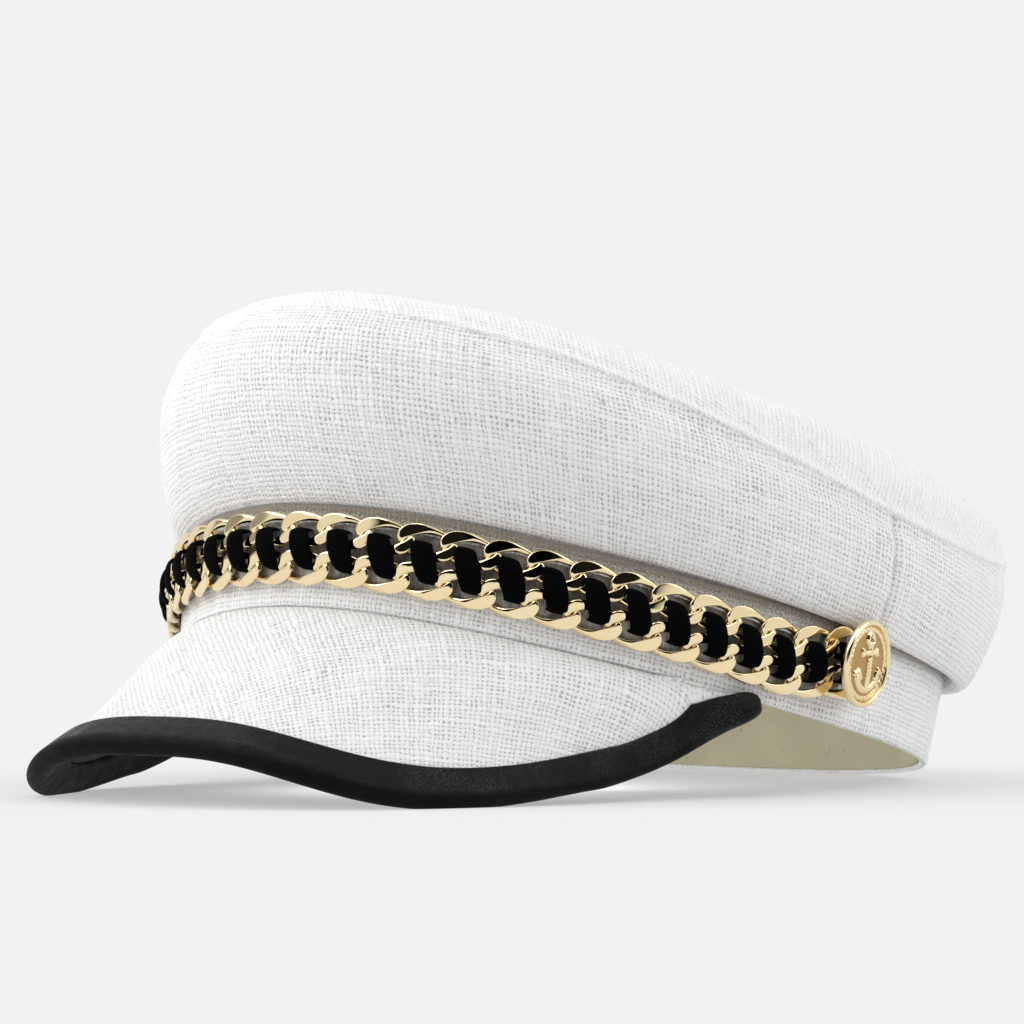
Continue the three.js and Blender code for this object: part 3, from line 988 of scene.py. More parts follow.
@dataclass(frozen=True)
class UnderCloth(Finish):
    """Dark matt cloth of the peak's underside."""

    rib: float = 0.7
    light: Colour = (0.062, 0.06, 0.055, 1)
    dark: Colour = (0.032, 0.031, 0.028, 1)

    def look(self, graph: Graph) -> dict[str, Any]:
        """A fine twill.

        Args:
            graph: the material's tree.
        Returns:
            The shader's inputs.
        """
        grain = graph.grain()
        sideways, down, _ = graph.apart(grain)
        slant = graph.plus(sideways, down)
        ridge = graph.math("SINE", graph.times(slant, 2 * math.pi / self.rib))
        shade = graph.plus(graph.times(ridge, 0.2), graph.noise(grain, 1.4, 3))
        return {
            "Base Color": graph.mix(shade, self.dark, self.light),
            "Roughness": 0.9,
            "Specular IOR Level": 0.3,
            "Normal": graph.bump(ridge, 0.05),
        }


@dataclass(frozen=True)
class Leather(Finish):
    """Black leather with a fine grain and soft wrinkles, with a painted sheen on its upper face."""

    # top_width and top_edge: where the painted sheen of the upper face ends, across the grain in mm
    top_width: float = 9.5
    top_edge: float = 1.2
    # light is the colour of the painted sheen and glints
    light: Colour = (0.038, 0.038, 0.04, 1)
    dark: Colour = (0.003, 0.003, 0.0035, 1)

    def look(self, graph: Graph) -> dict[str, Any]:
        """Pebbles of about half a millimetre and wrinkles, with a painted sheen in patches and painted
        glints on the upper face; the rolled edge and the lower face keep the dark colour.

        Args:
            graph: the material's tree.
        Returns:
            The shader's inputs.
        """
        place = graph.place()
        across = graph.apart(graph.grain())[1]
        cells = graph.add("ShaderNodeTexVoronoi", {"Vector": place, "Scale": 1700.0}, feature="F1")
        pebble = graph.remap(cells.outputs[0], 0.0, 0.75, 1, 0)
        wrinkle = graph.noise(place, 300, 3, 0.6)
        patch = graph.noise(place, 60, 3, 0.6)
        height = graph.math("MULTIPLY_ADD", wrinkle, 0.8, pebble)
        moved = graph.plus(across, graph.swing(patch, 3.0))
        # painted sheen: the upper face is lighter in patches and has painted glints, for the light that
        # falls on it
        top = graph.remap(moved, self.top_width + self.top_edge, self.top_width - self.top_edge)
        painted_sheen = graph.times(top, graph.remap(patch, 0.42, 0.62))
        painted_glints = graph.times(painted_sheen, graph.remap(graph.noise(place, 2300, 1), 0.56, 0.68))
        shade = graph.math("MAXIMUM", graph.times(painted_sheen, graph.times(pebble, 0.4)), painted_glints)
        rough = graph.remap(wrinkle, 0.3, 0.7, 0.3, 0.48)
        rough = graph.plus(rough, graph.math("MULTIPLY_ADD", top, -0.25, 0.25))
        return {
            "Base Color": graph.mix(shade, self.dark, self.light),
            "Roughness": rough,
            "Specular IOR Level": 0.1,
            "Normal": graph.bump(height, 0.05),
        }


@dataclass(frozen=True)
class Gold(Finish):
    """Polished gold plate with faint scratches and a little dirt in its tone."""

    bright: Colour = (0.98, 0.85, 0.57, 1)
    deep: Colour = (0.92, 0.72, 0.4, 1)
    rough: tuple[float, float] = (0.04, 0.09)
    unevenness: float = 0.005

    def tone(self, graph: Graph, colour: Any) -> Any:
        """The colour as it is; kinds with a relief shade it."""
        return colour

    def look(self, graph: Graph) -> dict[str, Any]:
        """Cloudy tone and roughness, and a slight unevenness of the surface.

        Args:
            graph: the material's tree.
        Returns:
            The shader's inputs.
        """
        place = graph.place()
        cloud = graph.noise(place, 130, 3)
        fine = graph.noise(place, 1700, 3, 0.6)
        height = graph.plus(graph.noise(place, 420, 1), graph.times(fine, 0.2))
        return {
            "Base Color": self.tone(graph, graph.mix(cloud, self.deep, self.bright)),
            "Metallic": 1.0,
            "Roughness": graph.remap(fine, 0.35, 0.75, *self.rough),
            "Normal": graph.bump(height, self.unevenness),
        }


@dataclass(frozen=True)
class SatinGold(Gold):
    """The same gold with a brushed ground, for cast buttons, with painted shade in the relief's
    recesses.
    """

    rough: tuple[float, float] = (0.16, 0.26)
    unevenness: float = 0.015
    # recess_shade is the painted shade in the relief's recesses
    recess_shade: Colour = (0.5, 0.32, 0.12, 1)

    def tone(self, graph: Graph, colour: Any) -> Any:
        """The colour, with painted shade where the grain's second number, the relief in mm, is low."""
        height = graph.apart(graph.grain())[1]
        return graph.mix(graph.remap(height, 0.02, 0.3), self.recess_shade, colour)


@dataclass(frozen=True)
class Velvet(Finish):
    """Black velvet: a deep pile with a faint sheen at its edges."""

    light: Colour = (0.006, 0.006, 0.006, 1)
    dark: Colour = (0.0012, 0.0012, 0.0012, 1)

    def look(self, graph: Graph) -> dict[str, Any]:
        """A fine pile that lies this way and that.

        Args:
            graph: the material's tree.
        Returns:
            The shader's inputs.
        """
        place = graph.place()
        pile = graph.noise(place, 2400, 3, 0.7)
        lie = graph.noise(place, 350, 2)
        return {
            "Base Color": graph.mix(graph.times(pile, lie), self.dark, self.light),
            "Roughness": 1.0,
            "Specular IOR Level": 0.01,
            "Sheen Weight": 0.02,
            "Sheen Roughness": 0.35,
            "Normal": graph.bump(pile, 0.12),
        }


@dataclass(frozen=True)
class Satin(Finish):
    """The ribbon's grey satin back, seen through the links, with streaks along it."""

    light: Colour = (0.62, 0.58, 0.53, 1)
    dark: Colour = (0.1, 0.09, 0.08, 1)

    def look(self, graph: Graph) -> dict[str, Any]:
        """Streaks along the grain's second direction, with painted shade that darkens it in the upper
        chain.

        Args:
            graph: the material's tree.
        Returns:
            The shader's inputs.
        """
        grain = graph.grain()
        sideways, up, _ = graph.apart(grain)
        streak = graph.noise(graph.combine(sideways, graph.times(up, 0.12)), 3.2, 4, 0.65)
        patch = graph.noise(grain, 0.22, 2)
        shade = graph.remap(graph.times(streak, patch), 0.12, 0.4)
        # painted shade: darker towards the upper chain
        shade = graph.times(shade, graph.remap(up, 3, -3, 0.55, 1))
        return {
            "Base Color": graph.mix(shade, self.dark, self.light),
            "Roughness": 0.5,
            "Specular IOR Level": 0.5,
            "Normal": graph.bump(streak, 0.08),
        }


# Pieces


class Hold(Enum):
    """How a sheet of cloth is held."""

    STRETCHED = "stretched"
    FOLDED = "folded"
    GATHERED = "gathered"


@dataclass
class Sheet:
    """What a piece of cloth was cut from: its flat size in metres and the pieces that it rests on."""

    width: float
    length: float
    area: float
    hold: Hold
    rests_on: tuple[str, ...]

    @classmethod
    def of(
        cls, grain: Array, mesh: bpy.types.Mesh, hold: Hold, rests_on: tuple[str, ...]
    ) -> "Sheet":
        """The sheet that a flattened piece was cut from.

        Args:
            grain: the piece's flat layout in mm.
            mesh: its mesh, for the area.
            hold: how it is held.
            rests_on: what it lies on or hangs from.
        Returns:
            The sheet.
        """
        spans = np.ptp(grain.reshape(-1, 2), axis=0) * MM
        area = min(surface_area(mesh), float(spans[0] * spans[1]))
        return cls(float(spans.min()), float(spans.max()), area, hold, rests_on)


@dataclass
class Piece:
    """One object of the cap, with the CAD nodes it stands for."""

    made: bpy.types.Object
    material: bpy.types.Material
    slot: str
    replaces: tuple[str, ...] = ()
    sheet: Sheet | None = None

    def finish(self) -> None:
        """Gives the piece its material, puts it under the body's empty, hides the CAD nodes that it
        stands for and logs its size.
        """
        self.made.data.materials.clear()
        self.made.data.materials.append(self.material)
        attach(self.made, BODY)
        if self.replaces:
            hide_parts(*self.replaces)
        if self.sheet:
            cut = self.sheet
            list(cut.rests_on)
            LOG.info("%s was cut %.0f x %.0f mm", self.made.name, cut.width / MM, cut.length / MM)
        LOG.info("%s: %d faces", self.made.name, len(self.made.data.polygons))


@dataclass
class Crown:
    """The crown: two side panels that meet at the side seams, and the domed top."""

    form: CrownForm
    place: Placement
    linen: bpy.types.Material
    top_linen: bpy.types.Material
    thick: float = 1.3
    side_rows: int = 150
    side_columns: int = 76
    top_rows: int = 300
    top_columns: int = 90
    side_per_degree: float = 1.65
    top_per_degree: float = 1.8
    seam_groove: Ridge = Ridge(-0.9, 0.0, 1.3)
    side_welt: Ridge = Ridge(0.4, 0.0, 0.9)
    side_dip: Ridge = Ridge(-0.45, 3.2, 1.9)
    top_welt: Ridge = Ridge(1.0, 0.8, 1.3)
    top_dip: Ridge = Ridge(-0.3, 4.2, 1.8)
    top_swell: Ridge = Ridge(1.3, 9.0, 6.5)
    overhang: float = 2.4
    tuck_in: float = 1.2
    tuck_down: float = 0.5
    edge_in: float = 0.6
    cut_turn: float = 45.0

    def undulation(self, points: Array, seed: int) -> Array:
        """Slow unevenness of the stiffened cloth, in mm."""
        flat = points[..., 0] + 0.3 * points[..., 1]
        return 0.5 * waves(flat, points[..., 2] * 1.4 + 0.5 * points[..., 1], 70, seed)

    def seam_depth(self, phi: Array) -> Array:
        """How marked the top seam is: less in front, where the cloth is pulled over, and behind."""
        front = 1 - 0.75 * hill((phi % 360) - 180, 26)
        return front * (1 - 0.6 * hill(from_back(phi) - 50, 24))

    def sag(self, phi: Array, part: Array) -> Array:
        """How far the side hangs down over the band behind its side seams, in mm."""
        return self.overhang * hill(from_back(phi) - 68, 34) * hill(part - 0.2, 0.2)

    def side_relief(self, points: Array, phi: Array, to_end: Array, seed: int) -> Array:
        """Grooves, puckers and unevenness of a side panel.

        Args:
            points: the panel's even surface.
            phi: the angle of each point.
            to_end: how far each point is from the nearest side seam, in mm.
            seed: picks the unevenness.
        Returns:
            How far each point moves outwards, in mm.
        """
        from_foot = arc_lengths(points, 1)
        from_top = from_foot[:, -1:] - from_foot
        column = self.side_columns // 2
        around = arc_lengths(points[:, column : column + 1], 0)
        open_part = smooth(from_foot, 0, 6) * smooth(from_top, 0, 5)
        lift = self.undulation(points, seed) * open_part * smooth(to_end, 0, 14)
        lift = lift + self.seam_groove(to_end)
        pucker = waves(from_foot, to_end * 0.15, 7.5, seed + 1, 3)
        lift = lift + 0.16 * pucker * hill(to_end - 2, 4.5) * open_part
        ripple = waves(around, from_top * 0.2, 9, seed + 2, 4)
        lift = lift + 0.12 * ripple * hill(from_top - 1.5, 4)
        return lift + self.seam_depth(phi) * (self.side_welt(from_top) + self.side_dip(from_top))

    def side(self, name: str, first: float, last: float, seed: int) -> Piece:
        """One side panel.

        Args:
            name: the CAD node that it stands for.
            first: the angle where it starts.
            last: the angle where it ends.
            seed: picks its unevenness.
        Returns:
            The piece.
        """
        phis = first + (last - first) * eased(self.side_rows, 0.75)
        phi, part = crossed(phis, eased(self.side_columns, 0.8))
        points = self.form.side(phi, part)
        points[..., 2] -= self.sag(phi, part)
        column = self.side_columns // 2
        around = np.broadcast_to(arc_lengths(points[:, column : column + 1], 0), phi.shape)
        grain = stacked(around, arc_lengths(points, 1), 0)[..., :2]
        to_end = np.minimum(phi - first, last - phi) * self.side_per_degree
        lift = self.side_relief(points, phi, to_end, seed)
        points = points + grid_normals(points, False) * lift[..., None]
        foot_phi = phi[:, :1]
        foot_up = self.form.foot_height(foot_phi) - self.tuck_down
        tuck = self.form.band.ring(foot_phi, self.form.foot_out - self.tuck_in, foot_up)
        points = np.concatenate([self.form.band.stand(tuck), points], axis=1)
        grain = np.concatenate([grain[:, :1] - [0, 1.3], grain], axis=1)
        mesh = Grid(points, grain, flip=True).mesh(name, self.place)
        piece = add_cloth(name + "_cloth", mesh, self.thick)
        cut = Sheet.of(grain, mesh, Hold.STRETCHED, ("band",))
        return Piece(piece, self.linen, "linen", (name,), cut)

    def top_relief(self, points: Array, phi: Array) -> Array:
        """Welt, puckers and unevenness of the top panel.

        Args:
            points: the panel's even surface.
            phi: the angle of each point.
        Returns:
            How far each point moves outwards, in mm.
        """
        from_seam = arc_lengths(points, 1)
        to_middle = from_seam[:, -1:] - from_seam
        lift = self.undulation(points, 5) * smooth(from_seam, 1, 12) * smooth(to_middle, 0, 8)
        ripple = waves(phi * self.top_per_degree, from_seam * 0.2, 9, 6, 4)
        lift = lift + 0.1 * ripple * hill(from_seam - 2, 4)
        lift = lift + self.seam_depth(phi) * (self.top_welt(from_seam) + self.top_dip(from_seam))
        return lift + hill(from_back(phi) - 52, 28) * self.top_swell(from_seam)

    def top(self, name: str) -> Piece:
        """The domed top, whose rolled edge stands a little proud along the top seam.

        Args:
            name: the CAD node that it stands for.
        Returns:
            The piece.
        """
        phis = np.arange(self.top_rows) * 360 / self.top_rows
        phi, part = crossed(phis, eased(self.top_columns, 0.8))
        points = self.form.top(phi, part)
        from_seam = arc_lengths(points, 1)
        to_middle = from_seam[:, -1:] - from_seam
        normals = grid_normals(points, True)
        normals[:, -1] = (0, 0, 1)
        points = points + normals * self.top_relief(points, phi)[..., None]
        edge = points[:, :1]
        inside = self.form.side(phi[:, :1], part[:, :1] + 0.985)
        edge = edge - normals[:, :1] * self.edge_in + (inside - edge) * 0.4
        points = np.concatenate([edge, points], axis=1)
        away = points[:, 1:] - points[:, -1:]
        heading = np.arctan2(away[..., 1], away[..., 0])
        heading[:, -1] = 0
        flat = stacked(to_middle * np.cos(heading), to_middle * np.sin(heading), 0)[..., :2]
        flat = np.concatenate([flat[:, :1] * 1.01, flat], axis=1)
        grain = turned(flat, self.cut_turn)
        closed = np.concatenate([grain, grain[:1]], axis=0)
        mesh = Grid(points, closed, row_ring=True, flip=True).mesh(name, self.place)
        piece = add_cloth(name + "_cloth", mesh, self.thick)
        cut = Sheet.of(flat, mesh, Hold.STRETCHED, ("crown_side_front", "crown_side_back"))
        return Piece(piece, self.top_linen, "linen", (name,), cut)

    def build(self) -> list[Piece]:
        """Builds the three panels.

        Returns:
            The front, the back and the top.
        """
        seam = self.form.side_seam
        return [
            self.side("crown_side_front", seam, 360 - seam, 11),
            self.side("crown_side_back", -seam, seam, 23),
            self.top("crown_top"),
        ]


@dataclass
class HeadBand:
    """The head band with its rolled lower edge, and the sweatband inside it."""

    form: BandForm
    place: Placement
    linen: bpy.types.Material
    sweat_cloth: bpy.types.Material
    rows: int = 264
    sweat_gap: float = 0.15
    sweat_thick: float = 1.0
    sweat_low: float = 0.8
    sweat_high: float = 21.5
    per_degree: float = 1.63

    def section(
        self, outside: float, thick: float, low: float, high: float, steps: int
    ) -> tuple[Array, Array]:
        """Outline of a wall's cross-section, down its outer face and up its inner one.

        Args:
            outside: how far out its outer face is.
            thick: its thickness.
            low: its lower end.
            high: its upper end.
            steps: how many steps each face has.
        Returns:
            The outline's distances out and its heights, a closed line that doesn't repeat its start.
        """
        radius = thick / 2
        turn = np.linspace(0, np.pi, 9)[1:-1]
        down = np.linspace(high, low + radius, steps)
        rolled = outside - radius + radius * np.cos(turn)
        out = np.concatenate([np.full(steps, outside), rolled, np.full(steps, outside - thick)])
        up = np.concatenate([down, low + radius - radius * np.sin(turn), down[::-1]])
        return out, up

    def wall(
        self, name: str, outline: tuple[Array, Array], seed: int, unevenness: float
    ) -> tuple[bpy.types.Mesh, Array]:
        """A ring with this cross-section.

        Args:
            name: the mesh's name.
            outline: distances out and heights of the cross-section.
            seed: picks its unevenness.
            unevenness: how uneven it is, in mm.
        Returns:
            The mesh and its flat layout.
        """
        phi, out = crossed(np.arange(self.rows) * 360 / self.rows, outline[0])
        up = np.broadcast_to(outline[1], phi.shape)
        around = phi * self.per_degree
        uneven = unevenness * waves(around, up * 1.2, 46, seed) * smooth(up, 0, 6)
        uneven = uneven * smooth(self.form.height - up, 0, 5)
        points = self.form.wall(phi, out + uneven, up)
        lengths = arc_lengths(points, 1)
        grain = stacked(around, lengths, 0)[..., :2]
        grain = np.concatenate([grain, grain[:1] + [360 * self.per_degree, 0]], axis=0)
        grain = np.concatenate([grain, grain[:, -1:] + [0, self.form.thick]], axis=1)
        mesh = Grid(points, grain, row_ring=True, column_ring=True).mesh(name, self.place)
        return mesh, grain

    def build(self) -> list[Piece]:
        """Builds the band and the sweatband.

        Returns:
            Both pieces.
        """
        form = self.form
        outline = self.section(0.0, form.thick, 0.0, form.height, 22)
        mesh, grain = self.wall("band", outline, 31, 0.22)
        girth = float(np.ptp(grain[..., 0])) * MM
        tall = form.height * MM
        cut = Sheet(tall, girth, tall * girth, Hold.STRETCHED, ("sweatband",))
        made = add_object("band_cloth", mesh)
        band = Piece(made, self.linen, "linen", ("band",), cut)
        outside = -form.thick - self.sweat_gap
        outline = self.section(outside, self.sweat_thick, self.sweat_low, self.sweat_high, 16)
        mesh, _ = self.wall("sweatband", outline, 37, 0.12)
        tall = (self.sweat_high - self.sweat_low) * MM
        cut = Sheet(tall, girth, tall * girth, Hold.STRETCHED, ("band",))
        made = add_object("sweatband_cloth", mesh)
        return [band, Piece(made, self.sweat_cloth, "sweatband_cloth", ("sweatband",), cut)]


@dataclass
class Peak:
    """The peak: its cloth upper, its dark underside and the leather folded round its rim.

    The leather's ends are pulled up towards the band, higher than the CAD solid's.
    """

    form: PeakForm
    place: Placement
    linen: bpy.types.Material
    under_cloth: bpy.types.Material
    leather: bpy.types.Material
    rows: int = 170
    panel_turn: float = 80.0
    top_level: float = 1.2
    under_level: float = -1.2
    panel_thick: float = 0.95
    panel_radius: float = 118.0
    root_radius: float = 95.0
    cut_turn: float = 45.0
    root_lift: float = 1.1
    leather_rows: int = 321
    leather_inner: float = 1.25
    leather_sunk: float = 0.2
    leather_cut: float = 0.97
    end_lift: float = 3.7
    end_dip: float = 1.7
    end_swell: float = 0.2
    end_radius: float = 7.5
    end_least: float = 0.0004

    def end_shift(self, turn: Array) -> Array:
        """How far up the leather is pulled near its ends, in mm, after a slight dip."""
        turn = np.abs(turn)
        return self.end_lift * smooth(turn, 71, 86) - self.end_dip * hill(turn - 69, 4.5)

    def panel(self, name: str, level: float, material: bpy.types.Material, slot: str) -> Piece:
        """One face of the peak, from its root to inside the leather.

        Args:
            name: the CAD node that it stands for.
            level: how far over the middle sheet its outer side is.
            material: its finish.
            slot: the record's material slot.
        Returns:
            The piece.
        """
        turns = np.linspace(-self.panel_turn, self.panel_turn, self.rows)
        turn, share = crossed(turns, eased(44, 0.4))
        bare = self.form.layer(turn, share * (1 - self.form.covered(turn)), level)
        under_turn, under_share = crossed(turns, np.linspace(0, 0.85, 8)[1:])
        hidden = self.form.under_leather(under_turn, under_share, level)
        points = np.concatenate([bare, hidden], axis=1)
        lengths = arc_lengths(points, 1)
        middle = arc_lengths(points[:, 24:25], 0)
        angle = (middle - middle[self.rows // 2]) / self.panel_radius
        reach = self.root_radius + lengths
        guess = stacked(reach * np.sin(angle), -reach * np.cos(angle), 0)[..., :2]
        flat = unwrapped(points, guess)
        to_leather = np.concatenate([1 - share, 0 * under_share], axis=1)
        uneven = 0.35 * waves(flat[..., 0], flat[..., 1], 45, 41) * smooth(lengths, 1, 9)
        uneven = uneven * smooth(to_leather, 0, 0.25)
        points = points + grid_normals(points, False) * uneven[..., None]
        points[..., 2] += self.root_lift * (1 - smooth(lengths, 0, 14)) * smooth(to_leather, 0, 0.6)
        points[..., 2] += self.end_shift(turns)[:, None] * (1 - to_leather)
        up = level > 0
        mesh = Grid(points, turned(flat, self.cut_turn), flip=up).mesh(name, self.place)
        piece = add_cloth(name + "_cloth", mesh, self.panel_thick)
        rests_on = ("peak_underside",) if up else ("peak_top",)
        return Piece(piece, material, slot, (name,), Sheet.of(flat, mesh, Hold.STRETCHED, rests_on))

    def skin(self, turns: Array, leg: Array, levels: Array, radius: float) -> Array:
        """One skin of the leather, down its upper leg, round the rim and back along its lower leg.

        Args:
            turns: the angles along the peak.
            leg: shares of a leg, from the leather's inner edge to the rim.
            levels: how far from the middle sheet the skin is at each share.
            radius: the radius of the roll round the rim.
        Returns:
            The points, a row for each angle.
        """
        form, ones = self.form, np.ones_like(turns)
        top, low = (
            [form.under_leather(turns, ones * share, ones * side * up) for share, up in zip(leg, levels)]
            for side in (1, -1)
        )
        rim = form.rim(turns)
        normal = form.normal(turns, ones)
        outward = unit(form.sheet(turns, ones) - form.sheet(turns, ones * 0.98))
        rolls = np.linspace(90, -90, 25)[1:-1]
        roll = [rim + radius * (outward * cos(angle) + normal * sin(angle)) for angle in rolls]
        points = np.stack([*top, *roll, *low[::-1]], axis=1)
        points[..., 2] = np.maximum(points[..., 2], form.leather_radius - radius)
        return points

    def rounded_ends(self, points: Array, turns: Array, along: Array) -> Array:
        """Rounds the leather's ends off and pulls them up.

        Args:
            points: the leather's cross-sections, a row for each angle.
            turns: the angles along the peak.
            along: the length along the leather at each row, in mm.
        Returns:
            The points, none of them below the surface that the cap stands on.
        """
        end = np.minimum(along, along[-1] - along)[:, :, None]
        share = 1 - np.clip(end / self.end_radius, 0, 1)
        closing = np.sqrt(np.clip(1 - share**2, self.end_least, 1))
        swell = 1 + self.end_swell * smooth(np.abs(turns), 67, 77)[:, None, None]
        centre = points.mean(axis=1, keepdims=True)
        points = centre + (points - centre) * closing * swell
        points[..., 2] += self.end_shift(turns)[:, None]
        points[..., 2] = np.maximum(points[..., 2], 0)
        return points

    def binding(self, name: str) -> Piece:
        """The leather: two legs along the peak's faces, joined by a rolled edge, with rounded ends.

        Args:
            name: the CAD node that it stands for.
        Returns:
            The piece.
        """
        turns = self.form.end_turn * np.sin(np.linspace(-np.pi / 2, np.pi / 2, self.leather_rows))
        leg = np.linspace(0, 1, 12) ** 1.3
        outer, inner, sunk = self.form.leather_radius, self.leather_inner, self.leather_sunk
        levels = inner + (outer - sunk - inner) * np.sqrt(np.clip(leg / 0.09, 0, 1))
        levels = levels + sunk * smooth(leg, 0.05, 0.6)
        outside = self.skin(turns, leg, levels, outer)
        inside = self.skin(turns, leg, np.full_like(leg, inner), inner)
        lengths = arc_lengths(outside, 1)
        along = arc_lengths(outside[:, 20:21], 0)
        points = np.concatenate([outside, inside[:, ::-1]], axis=1)
        points = self.rounded_ends(points, turns, along)
        across = np.concatenate([lengths, lengths[:, ::-1], lengths[:, :1]], axis=1)
        grain = stacked(np.broadcast_to(along, across.shape), across, 0)[..., :2]
        mesh = Grid(points, grain, column_ring=True).mesh(name, self.place)
        piece = add_object(name + "_leather", mesh)
        width, length = float(np.median(lengths[:, -1])) * MM, float(along[-1, 0]) * MM
        area = self.leather_cut * width * length
        cut = Sheet(width, length, area, Hold.FOLDED, ("peak_top", "peak_underside"))
        return Piece(piece, self.leather, "leather", (name,), cut)

    def build(self) -> list[Piece]:
        """Builds both faces and the leather.

        Returns:
            The three pieces.
        """
        return [
            self.panel("peak_top", self.top_level, self.linen, "linen"),
            self.panel("peak_underside", self.under_level, self.under_cloth, "underside_cloth"),
            self.binding("peak_binding"),
        ]


class TrackTree:
    """A Geometry Nodes tree that repeats an element along the trim's track and bends it to it."""

    SOCKETS = (
        ("Element", "NodeSocketObject"),
        ("Track", "NodeSocketObject"),
        ("Count", "NodeSocketInt"),
        ("Pitch", "NodeSocketFloat"),
        ("Half Length", "NodeSocketFloat"),
        ("Level", "NodeSocketFloat"),
        ("Variation", "NodeSocketFloat"),
        ("Seed", "NodeSocketInt"),
        ("Material", "NodeSocketMaterial"),
    )
    AXES = ("place", "up_axis", "out_axis")

    def __init__(self) -> None:
        """Builds the tree with its named inputs."""
        tree = bpy.data.node_groups.new("Along Track", "GeometryNodeTree")
        tree.interface.new_socket("Geometry", in_out="OUTPUT", socket_type="NodeSocketGeometry")
        self.identifiers = {}
        for name, kind in self.SOCKETS:
            socket = tree.interface.new_socket(name, in_out="INPUT", socket_type=kind)
            self.identifiers[name] = socket.identifier
        self.tree = tree
        graph = Graph(tree)
        given = graph.add("NodeGroupInput").outputs
        start = graph.times(graph.math("SUBTRACT", given["Count"], 1.0), given["Pitch"])
        start = graph.times(start, -0.5)
        line = graph.add("GeometryNodeMeshLine", {"Count": given["Count"]}, mode="OFFSET")
        tree.links.new(graph.combine(start, 0.0), line.inputs["Start Location"])
        tree.links.new(graph.combine(given["Pitch"], 0.0), line.inputs["Offset"])
        element = graph.add("GeometryNodeObjectInfo", {"Object": given["Element"]})
        low = graph.math("SUBTRACT", 1.0, given["Variation"])
        high = graph.plus(1.0, given["Variation"])
        size = graph.add("FunctionNodeRandomValue", {"Seed": given["Seed"]}, data_type="FLOAT_VECTOR")
        tree.links.new(graph.combine(low, low, low), size.inputs[0])
        tree.links.new(graph.combine(high, high, high), size.inputs[1])
        spread = {"Points": line.outputs[0], "Instance": element.outputs["Geometry"]}
        copies = graph.add("GeometryNodeInstanceOnPoints", spread | {"Scale": size.outputs[0]})
        solid = graph.add("GeometryNodeRealizeInstances", {0: copies.outputs[0]})
        track = graph.add("GeometryNodeObjectInfo", {"Object": given["Track"]})
        curve = graph.add("GeometryNodeMeshToCurve", {0: track.outputs["Geometry"]})
        x, y, z = graph.apart(graph.add("GeometryNodeInputPosition").outputs[0])
        length = graph.plus(x, given["Half Length"])
        place, up, out = (self.sample(graph, curve.outputs[0], name, length) for name in self.AXES)
        moved = graph.vector("SCALE", up, graph.plus(y, given["Level"]))
        moved = graph.vector("ADD", place, moved)
        moved = graph.vector("ADD", moved, graph.vector("SCALE", out, z))
        inputs = {"Geometry": solid.outputs[0], "Position": moved}
        bent = graph.add("GeometryNodeSetPosition", inputs)
        inputs = {"Geometry": bent.outputs[0], "Material": given["Material"]}
        dressed = graph.add("GeometryNodeSetMaterial", inputs)
        graph.add("NodeGroupOutput", {0: dressed.outputs[0]})

    @staticmethod
    def sample(graph: Graph, curve: Socket, name: str, length: Socket) -> Socket:
        """Reads a vector of the track.

        Args:
            graph: the tree.
            curve: the track.
            name: the vector's name.
            length: where along the track.
        Returns:
            The vector there.
        """
        kind = {"data_type": "FLOAT_VECTOR"}
        value = graph.add("GeometryNodeInputNamedAttribute", {"Name": name}, **kind)
        inputs = {"Curves": curve, "Value": value.outputs[0], "Length": length}
        return graph.add("GeometryNodeSampleCurve", inputs, mode="LENGTH", **kind).outputs["Value"]

    def run(self, name: str, values: dict[str, Any]) -> bpy.types.Mesh:
        """Repeats an element and returns the result as a plain mesh.

        Args:
            name: the result's name.
            values: what each named input is.
        Returns:
            The mesh.
        """
        carrier = add_object(name + "_carrier", bpy.data.meshes.new(name + "_carrier"))
        nodes = carrier.modifiers.new("Along Track", "NODES")
        nodes.node_group = self.tree
        for key, value in values.items():
            nodes[self.identifiers[key]] = value
        bpy.context.view_layer.update()
        evaluated = carrier.evaluated_get(bpy.context.evaluated_depsgraph_get())
        mesh = bpy.data.meshes.new_from_object(evaluated)
        mesh.name = name
        carrier.modifiers.remove(nodes)
        bpy.data.objects.remove(carrier)
        return mesh


@dataclass
class Link:
    """One twisted oval link with flat polished faces where it stands forward."""

    half_length: float = 6.2
    half_height: float = 3.1
    twist: float = 0.95
    lean: float = 0.02
    wire_half_width: float = 1.05
    head_widening: float = 0.3
    wire_half_depth: float = 1.0
    flat: float = 0.95
    bevel: float = 0.14
    tilt: float = 0.0
    inner_side: int = -1
    inner_drop: float = 0.9
    sides: int = 44
    wire_sides: int = 30

    def centre(self, turn: Array) -> Array:
        """Middle line of the wire.

        Args:
            turn: the angle round the link.
        Returns:
            The point: along, up and out.
        """
        drop = self.inner_drop * np.maximum(self.inner_side * sin(turn), 0)
        out = self.lean * self.half_length * cos(turn) - self.twist * sin(2 * turn) - drop
        return stacked(self.half_length * cos(turn), self.half_height * sin(turn), out)

    def mesh(self) -> bpy.types.Mesh:
        """Makes the link.

        Returns:
            Its mesh, in metres, lying along X with its face to Z.
        """
        turn = np.arange(self.sides) * 360 / self.sides
        middle = self.centre(turn)
        tangent = unit(self.centre(turn + 1) - self.centre(turn - 1))
        across = unit(stacked(tangent[:, 1], -tangent[:, 0], 0))
        depth = np.cross(across, tangent)
        roll = np.arange(self.wire_sides) * 360 / self.wire_sides
        wide = self.wire_half_width - self.head_widening * sin(2 * turn)
        points = middle[:, None] + across[:, None] * (wide[:, None] * cos(roll))[..., None]
        points = points + depth[:, None] * (self.wire_half_depth * sin(roll))[None, :, None]
        below = self.flat - points[..., 2]
        points[..., 2] = self.flat - (below + np.sqrt(below**2 + self.bevel**2)) / 2
        points[..., 2] += points[..., 1] * math.tan(math.radians(self.tilt))
        return Grid(points, None, row_ring=True, column_ring=True).mesh("link", lambda p: p * MM)


